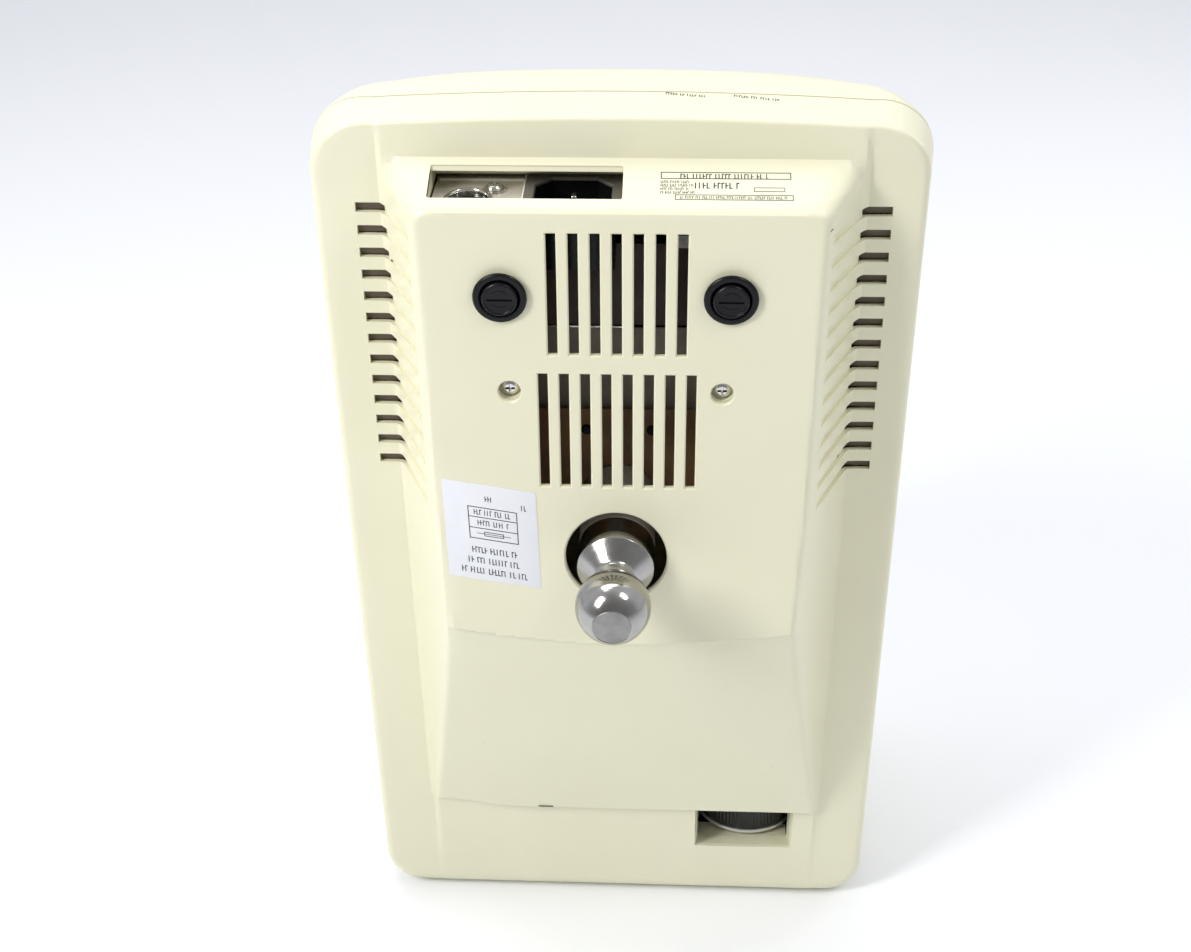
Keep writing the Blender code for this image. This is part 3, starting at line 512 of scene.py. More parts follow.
def border_normal(x, z):
    """Outward direction at a point of the border."""
    for end, radius, sign in ((BORDER_LOW, CORNER_FRONT, 1), (BORDER_TOP, CORNER_REAR, -1)):
        centre_x, centre_z = BORDER_HALF - radius, end + sign * radius
        if sign * (centre_z - z) > -1e-6:
            away = Vector((math.copysign(max(0.0, abs(x) - centre_x), x), z - centre_z))
            return away.normalized() if abs(x) > centre_x else Vector((0, -sign))
    return Vector((math.copysign(1.0, x), 0))


def spaced(*runs):
    """Sorted numbers of several (start, end, step) runs, without near repeats."""
    values = sorted(start + (end - start) * i / max(1, round((end - start) / step))
                    for start, end, step in runs for i in range(max(1, round((end - start) / step)) + 1))
    kept = [values[0]]
    for value in values[1:]:
        if value - kept[-1] > 0.25:
            kept.append(value)
    return kept


def border_rows():
    """Z of the grid's rows, closer together at the round corners, the step, the crest and the end face."""
    corner = [math.radians(9 * i) for i in range(11)]
    low = [BORDER_LOW + CORNER_FRONT * (1 - math.cos(a)) for a in corner]
    high = [BORDER_TOP - CORNER_REAR * (1 - math.cos(a)) for a in corner]
    middle = spaced((21, 49, 3.6), (49, 57, 0.5), (57, 64, 2), (64, 160, 4.5), (160, 174, 0.6),
                    (174, 316, 4.5), (316, high[-1] - 0.4, 0.75))
    return low + [z for z in middle if low[-1] + 0.4 < z < high[-1] - 0.3] + high[::-1]


def row_columns(z):
    """X of the grid's points along one row, from left to right."""
    half = border_half(z)
    fixed = [7.0 * i for i in range(8)] + [53.0, 56.5, 59.0] + [60.0 + i for i in range(20)]
    outer = [fixed[-1] + (half - fixed[-1]) * i / 5 for i in range(1, 6)]
    right = fixed + outer
    return [-x for x in right[:0:-1]] + right


def bowed(x, z):
    """The rear end is bowed: highest in the middle and lower towards its corners."""
    share = min(1.0, max(0.0, (z - END_Z) / (BORDER_TOP - END_Z)))
    return z + REAR_BOW * (1 - (x / HALF_WIDTH) ** 2) * share


def rim_reach(normal):
    """Edge radius and draft at a point of the border, by the way it faces."""
    across, lengthways = normal.x ** 2, normal.y ** 2
    end = ROUND_FRONT if normal.y < 0 else ROUND_REAR
    return ROUND_SIDE * across + end * lengthways, DRAFT * abs(normal.x)


def base_surface():
    """The base shell's outer skin, open at the seam, and the border it was built on."""
    bm = bmesh.new()
    rows = border_rows()
    grid = []
    for z in rows:
        grid.append([bm.verts.new((x, -underside_depth(x, z), bowed(x, z))) for x in row_columns(z)])
    for low, high in zip(grid, grid[1:]):
        for i in range(len(low) - 1):
            bm.faces.new((low[i], low[i + 1], high[i + 1], high[i]))
    loop = grid[0] + [row[-1] for row in grid[1:-1]] + grid[-1][::-1] + [row[0] for row in grid[-2:0:-1]]
    flat = [(x, rows[0]) for x in row_columns(rows[0])]
    flat += [(border_half(z), z) for z in rows[1:-1]]
    flat += [(x, rows[-1]) for x in row_columns(rows[-1])[::-1]]
    flat += [(-border_half(z), z) for z in rows[-2:0:-1]]
    border = [(vert.co.x, vert.co.z, border_normal(x, z), -vert.co.y) for vert, (x, z) in zip(loop, flat)]
    last = loop
    for ring in rim_rings(border):
        new = [bm.verts.new(p) for p in ring]
        bridge(bm, last, new)
        last = new
    return bm, border


def rim_rings(border):
    """Rings from the border round the edge and up the wall to the seam."""
    rings = []
    for angle in (75, 60, 45, 30, 15, 0):
        turn_by = math.radians(angle)
        ring = []
        for x, z, normal, depth in border:
            radius, _ = rim_reach(normal)
            reach = radius * math.cos(turn_by)
            drop = depth - radius + radius * math.sin(turn_by)
            ring.append((x + normal.x * reach, -drop, z + normal.y * reach))
        rings.append(ring)
    for share in (0.5, 1.0):
        ring = []
        for x, z, normal, depth in border:
            radius, draft = rim_reach(normal)
            reach = radius + draft * share
            height = SEAM_GAP + (depth - radius - SEAM_GAP) * (1 - share)
            ring.append((x + normal.x * reach, -height, z + normal.y * reach))
        rings.append(ring)
    return rings


def seam_outline(border):
    """The base shell's outline at the seam, as (x, z, outward direction)."""
    points = []
    for x, z, normal, _ in border:
        reach = sum(rim_reach(normal))
        points.append((x + normal.x * reach, z + normal.y * reach, normal))
    return points


def cover_surface(outline):
    """The top cover's outer skin: straight at the seam, then domed, long and low at the rear."""
    bm = bmesh.new()
    loops = []
    for level in (SEAM_GAP, 3.2):
        loops.append([(x, level, z) for x, z, _ in outline])
    for step in range(25):
        angle = COVER_END_ANGLE * step / 24
        turn_by = math.radians(angle)
        bulge = 1 - math.cos(turn_by)
        side, rear = COVER_SIDE * bulge ** 0.9, COVER_REAR * bulge ** 0.8
        front = COVER_FRONT * max(0.0, (angle - 60.0) / 30.0) ** 2
        rise = math.sin(turn_by) / math.sin(math.radians(COVER_END_ANGLE))
        level = COVER_STRAIGHT + (COVER_TOP - COVER_STRAIGHT) * rise
        shrink = (LENGTH - rear - front) / LENGTH
        corner = COVER_CORNER * step_up(level, 2.0, 30.0)
        loop = []
        for x, z, _ in outline:
            near = max(0.0, 1 - (LENGTH - z) / COVER_CORNER_REACH)
            inward = corner * near ** 3 * x / HALF_WIDTH
            forward = corner * near * abs(x / HALF_WIDTH) ** 6
            loop.append(((x - inward) * (1 - side / HALF_WIDTH), level,
                         front + (z - forward) * shrink))
        loops.append(loop)
    middle = sum(p[2] for p in loops[-1]) / len(outline)
    top = loops[-1]
    for share in (0.97, 0.9, 0.75, 0.5, 0.25):
        crown = COVER_TOP + COVER_CROWN * (1 - share ** 2)
        loops.append([(x * share, crown, middle + (z - middle) * share) for x, _, z in top])
    rings = [[bm.verts.new(p) for p in loop] for loop in loops]
    for low, high in zip(rings, rings[1:]):
        bridge(bm, low, high)
    bm.faces.new(rings[-1])
    return bm


# ---- the underside's openings

def add_louvre_tools(bm):
    """Each louvre's opening through the rim, and the groove that runs from it up the flank."""
    inner, outer = LOUVRE_X
    sink = GROOVE_DEPTH * 2.2
    for side in (-1, 1):
        for i in range(LOUVRES):
            top = LOUVRE_TOP - i * LOUVRE_PITCH
            outline = [(outer, RIM + 9), (outer, RIM - 5), (inner, RIM - 5), (inner, RIM + 0.6),
                       (GROOVE_END_X, flank_depth(GROOVE_END_X, top) - sink),
                       (GROOVE_END_X - 1.0, flank_depth(GROOVE_END_X - 1.0, top) + 1.5),
                       (GROOVE_END_X + 2, flank_depth(GROOVE_END_X, top) + 9)]
            loops = [[(side * x + BODY_SHIFT, -depth, level) for x, depth in outline]
                     for level in (top - LOUVRE_HEIGHT, top)]
            loft(bm, loops)


def add_slot_tools(bm):
    """The grille's slots, with a small bevel where they meet the face."""
    for count, low, high in SLOT_ROWS:
        for i in range(count):
            x = (i - (count - 1) / 2) * SLOT_PITCH + SLOT_SHIFT
            loops = []
            for above, flare in ((4.0, 0.5), (0.05, 0.5), (-0.45, 0.0), (-9.0, 0.0)):
                half = SLOT_WIDTH / 2 + flare
                z0, z1 = low - flare, high + flare
                y0, y1 = (-(face_depth(z) + above) for z in (z0, z1))
                loops.append([(x - half, y0, z0), (x + half, y0, z0), (x + half, y1, z1), (x - half, y1, z1)])
            loft(bm, loops)


def add_round_tools(bm):
    """Holes for the ball stud, the fuse holders and the case screws, each with a bevelled mouth."""
    holes = [(BALL, BALL_HOLE, 96, 0.6)]
    holes += [(place, FUSE_HOLE, 48, 0.2) for place in FUSES.values()]
    holes += [(place, SCREW_HOLE, 40, 0.35) for place in SCREWS.values()]
    for place, radius, segments, bevel in holes:
        loops = []
        for above, flare in ((6.0, bevel), (0.0, bevel), (-bevel, 0.0), (-9.0, 0.0)):
            loop = []
            for k in range(segments):
                angle = 2 * math.pi * k / segments
                x = place.x + (radius + flare) * math.cos(angle)
                rise = (radius + flare) * math.sin(angle)
                loop.append((x, -(face_depth(place.z) + above) + rise * FACE_LEAN, place.z + rise))
            loops.append(loop)
        loft(bm, loops)


def add_recess_tool(bm):
    """The opening of the connector recess in the plateau's end face."""
    x0, x1 = RECESS_X
    near, far = RECESS_DEPTH
    column(bm, round_outline(x0, x1, -far, -near, 0.8, 3), (312, 336))


def pocket_loops(grow=0.0):
    """The focus window: its mouth on the underside, and its smaller inner end."""
    x0, x1 = WINDOW_X
    z0, z1 = WINDOW_Z
    loops = []
    for depth, side, rise in (*WINDOW_STEPS, (RING_FRONT - 0.6, *WINDOW_INNER)):
        outline = round_outline(x0 + side - grow, x1 - side + grow, z0 + rise - grow, z1 + grow, 0.7, 2)
        loops.append([(x, -depth, z) for x, z in outline])
    return loops


def add_front_tools(bm):
    """The openings for the lens and the infrared window in the end that the case stands on."""
    turn(bm, [(0, -4), (19.0, -4), (19.0, 12), (0, 12)], LENS, "z", 64)
    low, high = corners_of("infrared_window")
    column(bm, round_outline(low.x + 2, high.x - 2, low.y - SEAM + 2, high.y - SEAM - 2, 2.0, 4), (-4, 8))


# ---- case

def make_case():
    """The two case parts, as thin shells with their openings."""
    skin, border = base_surface()
    base = piece_from(skin, "case_bottom", "cream", node="base_shell", smooth=24)
    thicken(base, BASE_WALL)
    tools = bmesh.new()
    add_louvre_tools(tools)
    add_slot_tools(tools)
    add_round_tools(tools)
    add_recess_tool(tools)
    add_front_tools(tools)
    loft(tools, pocket_loops())
    cut_with(base, tool_from(tools, "underside_tools"), smooth=24)
    cover = piece_from(cover_surface(seam_outline(border)), "case_top", "cream", node="top_cover", smooth=24)
    thicken(cover, COVER_WALL)
    tools = bmesh.new()
    add_front_tools(tools)
    cut_with(cover, tool_from(tools, "front_tools"), smooth=24)
    make_seam_lip(seam_outline(border))


def make_seam_lip(outline):
    """The tongue inside the seam, seen at the bottom of the gap between the two case parts; its near-black
    colour is painted shade that darkens the gap.
    """
    bm = bmesh.new()
    rings = []
    for inset, level in ((1.3, -3.0), (1.3, 3.0), (2.3, 3.0), (2.3, -3.0)):
        rings.append([bm.verts.new((x - n.x * inset, level, z - n.y * inset)) for x, z, n in outline])
    for low, high in zip(rings, rings[1:] + rings[:1]):
        bridge(bm, low, high)
    lip = piece_from(bm, "seam_lip", "shade")
    tools = bmesh.new()
    add_front_tools(tools)
    cut_with(lip, tool_from(tools, "lip_tools"))


def thicken(obj, wall):
    """Gives a skin its wall, on the inside."""
    mod = obj.modifiers.new("wall", "SOLIDIFY")
    mod.thickness = wall * MM
    mod.offset = -1.0


def make_louvre_fins():
    """Blinds inside the louvres, near-black as painted shade: each hangs behind the upper half of its opening.
    """
    inner, outer = LOUVRE_X
    for side, name in ((-1, "left"), (1, "right")):
        bm = bmesh.new()
        low, high = sorted((side * (inner - 0.5) + BODY_SHIFT, side * (outer + 0.5) + BODY_SHIFT))
        for i in range(LOUVRES):
            top = LOUVRE_TOP - i * LOUVRE_PITCH
            rounded_box(bm, (low, -(RIM - BASE_WALL - 0.1), top - 3.2),
                        (high, -(RIM - BASE_WALL - 1.1), top + 1.0), 0.2)
        piece_from(bm, "louvre_painted_shade_blinds_" + name, "shade")


def make_insulation():
    """Insulating boards behind the grille, with a bright metal edge between the upper two."""
    for name, look, x0, x1, out, z0, z1 in BOARDS:
        bm = bmesh.new()
        front = CHASSIS_FRONT - out
        rounded_box(bm, (x0, front, z0), (x1, front + BOARD_THICKNESS, z1), 0.15)
        board = piece_from(bm, name, look, slot="plated_steel")
        if name == "board_lower":
            hole = turn(bmesh.new(), [(0, 10.0), (13.3, 10.0), (13.3, 20.0), (0, 20.0)], BALL, "y", 64)
            cut_with(board, tool_from(hole, "stud_room"))
    bm = bmesh.new()
    low, high = 4.0 - CHASSIS_FRONT, 5.0 - CHASSIS_FRONT
    for x in RIVET_X:
        turn(bm, softened([(0, low), (1.9, low), (1.9, high), (0, high)], 0.2), (x, 0, RIVET_Z), "y", 32)
    piece_from(bm, "board_rivets", "black", slot="black_plastic")


def make_linings():
    """The recess's sloped lining, the focus window's pocket and the cups of the case screws."""
    x0, x1 = RECESS_X
    near, far = RECESS_DEPTH
    mouth_z = END_Z - (near - RIM) / END_SLOPE
    lip_z = END_Z - (far - RIM) / END_SLOPE
    bm = bmesh.new()
    inner_y, inner_z = -12.6, PANEL_FACE + 0.4
    slab(bm, [(x0, -near, mouth_z - 0.2), (x1, -near, mouth_z - 0.2), (x1, inner_y, inner_z + 1.2),
              (x0, inner_y, inner_z + 1.2)], -1.4)
    for x, side in ((x0, 1.4), (x1, -1.4)):
        slab(bm, [(x, -far, lip_z - 0.3), (x, -near, mouth_z - 0.3), (x, inner_y, inner_z + 1.2),
                  (x, inner_y, inner_z), (x, -far, inner_z)], side)
    piece_from(bm, "recess_lining", "cream")
    bm = bmesh.new()
    inside, outside = ([[bm.verts.new(p) for p in loop] for loop in pocket_loops(grow)[2:]]
                       for grow in (0, 1.3))
    for low, high in ((inside[0], inside[1]), (outside[0], outside[1]), (inside[0], outside[0]),
                      (inside[1], outside[1])):
        bridge(bm, low, high)
    (x0, x1), floor_z = WINDOW_X, WINDOW_Z[0]
    start, end = (0.7 - RING_FRONT, floor_z + WINDOW_INNER[1]), (8.0 - RING_FRONT, floor_z + WINDOW_SHELF)
    slab(bm, [(x0 + 1.1, *start), (x1 - 1.1, *start), (x1 - 1.1, *end), (x0 + 1.1, *end)], -1.2)
    piece_from(bm, "focus_pocket", "cream")
    for side, place in SCREWS.items():
        face = face_depth(place.z)
        cup = softened([(3.7, face - 1.9), (5.6, face - 2.3), (5.6, face - 7.0), (1.9, face - 7.0),
                        (1.9, face - 4.4), (3.7, face - 4.4)], 0.15, 2)
        piece_from(turn(bmesh.new(), cup, place, "y", 48), "screw_cup_" + side, "cream")


# ---- fasteners and ball stud

def cross_tool(centre, depth_of, axis="y", reach=1.5, width=0.62):
    """A Phillips cross: two tapered blades, as one cutter."""
    loops = []
    for level, share in depth_of:
        r, w = reach * share, width * share * 0.5
        outline = [(w, r), (w, w), (r, w), (r, -w), (w, -w), (w, -r), (-w, -r), (-w, -w), (-r, -w), (-r, w),
                   (-w, w), (-w, r)]
        loops.append([along(centre, axis, a, b, level) for a, b in outline])
    return loft(bmesh.new(), loops)


def make_screws():
    """The case screws' heads, each down in its cup."""
    for side, place in SCREWS.items():
        seat = face_depth(place.z) - 4.2
        head = [(0, seat - 6), (1.5, seat - 6), (1.5, seat), (2.9, seat), (2.95, seat + 0.7), (2.5, seat + 1.5),
                (1.6, seat + 1.95), (0, seat + 2.1)]
        screw = turned("case_screw_head_" + side, "bright", head, 0.2, place, segments=48, slot="plated_steel",
                       node="case_screw_" + side)
        cross = cross_tool(place, ((seat + 3, 1.15), (seat + 0.4, 0.5)), reach=1.75, width=0.9)
        cut_with(screw, tool_from(cross, "cross"))


def make_ball_stud():
    """The stud in three pieces: turned cone and ball, the ball's faced end, and the duller base in its hole,
    coloured near-white as painted light that brightens it in the hole's shade.
    """
    middle = BALL_END - math.sqrt(BALL_R ** 2 - STUD_FACE_R ** 2)
    profile = [(0, SHANK_END), (STUD_R - 0.2, SHANK_END), (STUD_R, SHANK_END + 0.3), (STUD_R, middle - 20.6),
               (STUD_R - 0.3, middle - 20.2), (7.3, middle - 16.0), (6.7, middle - 15.2),
               (NECK_R, middle - 14.2)]
    start, end = math.asin(NECK_R / BALL_R), math.pi - math.asin(STUD_FACE_R / BALL_R)
    for i in range(33):
        angle = start + (end - start) * i / 32
        profile.append((BALL_R * math.sin(angle), middle - BALL_R * math.cos(angle)))
    profile += [(STUD_FACE_R - 0.2, BALL_END - 0.12), (0, BALL_END - 0.12)]
    stud = turn(bmesh.new(), profile, BALL, "y", 128)
    piece_from(stud, "turned_ball_stud", "stud", slot="turned_stainless", node="ball_stud", smooth=28)
    disc = [(0, BALL_END - 0.1), (STUD_FACE_R - 0.3, BALL_END - 0.1), (STUD_FACE_R - 0.4, BALL_END),
            (0, BALL_END)]
    piece_from(turn(bmesh.new(), disc, BALL, "y"), "ball_stud_face", "faced", slot="turned_stainless")
    base = turn(bmesh.new(), [(0, STUD_LOW), (STUD_R - 0.3, STUD_LOW), (STUD_R, STUD_LOW + 0.4),
                              (STUD_R, SHANK_END - 0.1), (0, SHANK_END - 0.1)], BALL, "y", 128)
    turn(base, [(0, 2.0), (4.9, 2.4), (4.9, STUD_LOW - 0.2), (0, STUD_LOW - 0.2)], BALL, "y", 64)
    piece_from(base, "ball_stud_base", "shank", slot="turned_stainless")


def make_fuses():
    """Each fuse holder's bezel, and its cap with a driver slot and two raised arcs."""
    for side, place in FUSES.items():
        face = face_depth(place.z)
        knob = dict(body="fuse_knob_" + side, slot="black_plastic")
        holder = [(6.15, face + 1.5), (6.15, 17.0), (3.4, 16.0), (3.4, 10.0), (6.9, 10.0), (6.9, face + 0.9),
                  (8.55, face + 0.9), (8.55, face + 1.5), (8.1, face + 2.0), (6.6, face + 2.0)]
        turned("fuse_bezel_" + side, "black", holder, 0.2, place, slot="black_plastic",
               node="fuse_holder_" + side)
        cap = [(0, face - 10.0), (2.9, face - 10.0), (2.9, face - 14.0), (5.7, face - 14.0), (5.7, face + 2.6),
               (5.3, face + 3.0), (4.9, face + 3.0), (4.7, face + 2.75), (0, face + 2.75)]
        piece = turned("fuse_knob_" + side, "black", cap, 0.15, place, node="fuse_cap_" + side, **knob)
        driver = round_outline(place.x - 4.0, place.x + 4.0, place.z - 0.45, place.z + 0.45, 0.3, 3)
        tools = loft(bmesh.new(), [[(x, -(face + lift), z) for x, z in driver] for lift in (4, 2.2)])
        cut_with(piece, tool_from(tools, "driver_slot"))
        marks = bmesh.new()
        for turn_by in (35, 215):
            arc_mark(marks, place, face + 2.72, 2.6, 3.2, turn_by, 95)
        piece_from(marks, "fuse_knob_mark_" + side, "black", **knob)


def arc_mark(bm, centre, level, inner, outer, start, sweep, steps=12):
    """A raised arc on a cap that faces -Y."""
    points = []
    for radius, order in ((inner, range(steps + 1)), (outer, range(steps, -1, -1))):
        for i in order:
            angle = math.radians(start + sweep * i / steps)
            points.append((centre.x + radius * math.cos(angle), centre.z + radius * math.sin(angle)))
    loft(bm, [[(x, -level, z) for x, z in points], [(x, -(level + 0.22), z) for x, z in points]])


# ---- connectors

def make_connectors():
    """The plate at the bottom of the recess with its pressed beads, and what is mounted on it."""
    x0, x1 = RECESS_X
    face = PANEL_FACE
    bm = bmesh.new()
    rounded_box(bm, (x0 + 0.4, PANEL_LOW, face - 1.2), (x1 - 0.4, -10.9, face), 0.25)
    panel = piece_from(bm, "connector_plate", "panel", slot="plated_steel", node="connector_panel")
    tools = bmesh.new()
    opening = round_outline(INLET.x - 13.3, INLET.x + 13.3, INLET.y - 9.5, INLET.y + 9.5, 1.0, 3)
    column(tools, opening, (face - 8, face + 8))
    for place, radius, segments in ((SIGNAL, 7.1, 48), (EARTH, 1.5, 24)):
        hole = [(0, face - 5), (radius, face - 5), (radius, face + 5), (0, face + 5)]
        turn(tools, hole, place, "z", segments)
    cut_with(panel, tool_from(tools, "panel_tools"))
    # The beads take the pale ceramic finish: a painted highlight along the plate's pressed ridges.
    bead = bmesh.new()
    rounded_box(bead, (x0 + 1.2, -17.6, face - 0.3), (INLET.x - 16.0, -16.4, face + 0.6), 0.4, 3)
    rounded_box(bead, (INLET.x - 15.8, PANEL_LOW + 0.3, face - 0.3), (INLET.x - 15.35, -12.9, face + 1.5), 0.15)
    piece_from(bead, "connector_plate_beads", "ceramic", slot="plated_steel")
    make_inlet(face)
    make_signal(face)


def inlet_outline(w, h, corner):
    """The inlet's opening: a rectangle with its two upper corners cut off."""
    return [(-w, -h), (w, -h), (w, h - corner), (w - corner, h), (corner - w, h), (-w, h - corner)]


def make_inlet(face):
    """The mains inlet: body, flange round the opening, and three pins."""
    x, y = INLET.x, INLET.y
    bm = bmesh.new()
    column(bm, round_outline(x - 13.0, x + 13.0, y - 9.1, y + 9.1, 1.0, 3), (face - 22, face + 0.6))
    body = piece_from(bm, "inlet_body", "black", slot="grey_plastic", node="mains_inlet")
    cavity = inlet_outline(12.1, 8.2, 5.0)
    bm = bmesh.new()
    column(bm, [(x + a, y + b) for a, b in cavity], (face - 15, face + 8))
    cut_with(body, tool_from(bm, "inlet_cavity"))
    loops = []
    for level, inset in ((face + 0.3, 0.0), (face + 1.3, 0.0), (face + 1.6, 0.3)):
        w, h = 15.2 - inset, 11.7 - inset
        loops.append([(a, b, level) for a, b in round_outline(x - w, x + w, y - h, y + h, 1.6, 4)])
    flange = piece_from(loft(bmesh.new(), loops), "inlet_flange", "grey", slot="grey_plastic")
    loops = [[(x + a * share, y + b * share, level) for a, b in cavity]
             for level, share in ((face - 4, 1.0), (face + 1.2, 1.0), (face + 2.2, 1.07))]
    cut_with(flange, tool_from(loft(bmesh.new(), loops), "flange_cavity"))
    for name in ("live_pin", "neutral_pin", "earth_pin"):
        low, high = corners_of(name)
        bm = bmesh.new()
        rounded_box(bm, (low.x, low.y - SEAM, low.z), (high.x, high.y - SEAM, high.z), 0.6, 3)
        piece_from(bm, name + "_blade", "bright", slot="bright_plating", node=name)


def make_signal(face):
    """The round signal connector, and the earth screw beside it on a toothed washer."""
    shell = [(5.8, face - 13), (6.8, face - 13), (6.8, face + 0.2), (7.75, face + 0.2), (7.75, face + 0.8),
             (7.2, face + 1.3), (6.5, face + 1.3), (6.2, face + 0.6), (5.9, face - 4), (5.8, face - 6)]
    turned("signal_socket", "bright", shell, 0.2, SIGNAL, "z", slot="bright_plating", node="signal_connector")
    insert = [(0, face - 12), (5.5, face - 12), (5.5, face - 1.4), (0, face - 1.4)]
    piece = turned("signal_socket_insert", "black", insert, 0.2, SIGNAL, "z", 64, slot="black_plastic",
                   node="signal_insert")
    tools = bmesh.new()
    for k in range(5):
        angle = math.radians(-90 + 72 * k)
        spot = (SIGNAL.x + 3.0 * math.cos(angle), SIGNAL.y + 3.0 * math.sin(angle), 0)
        turn(tools, [(0, face - 6), (0.75, face - 6), (0.75, face + 2), (0, face + 2)], spot, "z", 16)
    cut_with(piece, tool_from(tools, "insert_holes"))
    screw = [(0, face - 9), (1.2, face - 9), (1.2, face + 0.75), (2.7, face + 0.75), (2.7, face + 1.5),
             (2.0, face + 2.2), (0, face + 2.5)]
    head = turned("earth_screw_head", "bright", screw, 0.2, EARTH, "z", 48, slot="bright_plating",
                  node="earth_screw")
    cut_with(head, tool_from(cross_tool(EARTH, ((face + 3.2, 1.1), (face + 1.0, 0.5)), "z", 1.6, 0.8), "cross"))

    def tooth(angle, radius):
        return radius + (0.35 * math.cos(14 * angle) if radius > 3.0 else 0.0)

    washer = [(1.6, face + 0.1), (3.3, face + 0.1), (3.3, face + 0.7), (1.6, face + 0.7)]
    piece_from(turn(bmesh.new(), washer, EARTH, "z", 112, tooth), "earth_washer", "plate",
               slot="bright_plating")


# ---- front end and focusing

def make_focus_ring():
    """The knurled focus ring, with a thin silver trim on its lower rim."""
    low, high = corners_of("focus_ring")
    outer, teeth = (high.x - low.x) / 2, 90
    low.z -= RING_LEDGE

    def knurl(angle, radius):
        if radius < outer - 0.2:
            return radius
        return radius - 0.16 + 0.16 * math.cos(teeth * angle)

    rim = outer - 0.55
    profile = [(16.7, low.z), (rim, low.z), (rim, low.z + 1.4), (outer, low.z + 1.8), (outer, high.z - 1.8),
               (rim, high.z - 1.4), (rim, high.z), (16.7, high.z)]
    ring = turn(bmesh.new(), profile, RING, "z", 360, knurl)
    piece_from(ring, "knurled_focus_ring", "ring", body="focus_control", slot="black_plastic",
               node="focus_ring")
    trim = [(16.8, low.z - 0.5), (outer + 0.15, low.z - 0.5), (outer + 0.25, low.z + 0.2),
            (outer + 0.1, low.z + 0.75), (rim + 0.05, low.z + 0.9), (16.8, low.z - 0.1)]
    turned("focus_ring_trim", "silver", trim, 0.12, RING, "z", 180, body="focus_control", slot="black_plastic")


def make_front_end():
    """The lens surround, its window glass and the infrared filter, on the end that the case stands on."""
    bezel = [(15.0, 0.8), (18.6, 0.8), (18.8, 2.7), (22.0, 2.7), (22.0, 4.8), (17.4, 4.8), (17.4, 1.9),
             (15.0, 1.9)]
    turned("lens_surround", "black", bezel, 0.25, LENS, "z", 128, slot="black_plastic", node="lens_bezel")
    glass = [(0, 2.1), (17.0, 2.1), (17.0, 4.1), (0, 4.1)]
    turned("window_glass", "glass", glass, 0.3, LENS, "z", 128, slot="optical_glass", node="front_glass")
    low, high = corners_of("infrared_window")
    y0, y1 = low.y - SEAM, high.y - SEAM
    loops = []
    for level, inset in ((0.7, 2.6), (1.0, 2.3), (2.7, 2.3), (2.7, 0.2), (4.2, 0.2)):
        outline = round_outline(low.x + inset, high.x - inset, y0 + inset, y1 - inset, 2.2, 5)
        loops.append([(x, y, level) for x, y in outline])
    piece_from(loft(bmesh.new(), loops), "infrared_filter", "red_window", slot="infrared_window",
               node="infrared_window")


# ---- labels

def words(bm, left, right, row, height, place, seed):
    """A row of upright strokes in word-like groups that stands for a line of print."""
    rng = random.Random(seed)
    a, pitch = left, height * 0.46
    while a < right - pitch * 0.8:
        for _ in range(rng.randint(2, 6)):
            if a > right - pitch * 0.8:
                break
            kind = rng.randint(0, 3)
            mark(bm, a, row, a + pitch * 0.3, row + height, place)
            if kind:
                level = row + height * (0.0, 0.42, 0.84)[kind - 1]
                mark(bm, a + pitch * 0.3, level, a + pitch * 0.78, level + height * 0.16, place)
            a += pitch
        a += pitch * 0.8


def mark(bm, a0, b0, a1, b1, place):
    """A printed rectangle, a few hundredths of a millimetre thick."""
    loops = []
    for lift in (0.02, 0.06):
        loops.append([place(a, b, lift) for a, b in ((a0, b0), (a1, b0), (a1, b1), (a0, b1))])
    loft(bm, loops)


def frame_marks(bm, a0, b0, a1, b1, line, place):
    """A printed frame."""
    mark(bm, a0, b0, a1, b0 + line, place)
    mark(bm, a0, b1 - line, a1, b1, place)
    mark(bm, a0, b0 + line, a0 + line, b1 - line, place)
    mark(bm, a1 - line, b0 + line, a1, b1 - line, place)


def make_rating_print():
    """Small print on the plateau's end face: a framed heading and lines of strokes."""
    length = math.hypot(1, END_SLOPE)
    down = Vector((0, -END_SLOPE / length, -1 / length))
    out = Vector((0, -1 / length, END_SLOPE / length))
    start_depth = 26.9
    origin = Vector((13.6, -start_depth, END_Z - (start_depth - RIM) / END_SLOPE))

    def place(a, b, lift):
        return origin + Vector((a, 0, 0)) + down * b + out * (lift + 0.02)

    bm = bmesh.new()
    frame_marks(bm, 0, 0, 40.0, 3.0, 0.28, place)
    words(bm, 6.0, 34.0, 0.75, 2.2, place, 3)
    for row in range(4):
        words(bm, 0, 9.0 + 2 * (row % 2), 3.8 + row * 1.55, 1.1, place, 11 + row)
    words(bm, 10.5, 25.0, 4.6, 2.6, place, 23)
    frame_marks(bm, 28.5, 6.6, 38.0, 8.4, 0.2, place)
    frame_marks(bm, 4.5, 9.9, 40.5, 12.2, 0.22, place)
    words(bm, 6.0, 39.0, 10.5, 1.2, place, 31)
    piece_from(bm, "rating_print", "ink", slot="cream_abs")


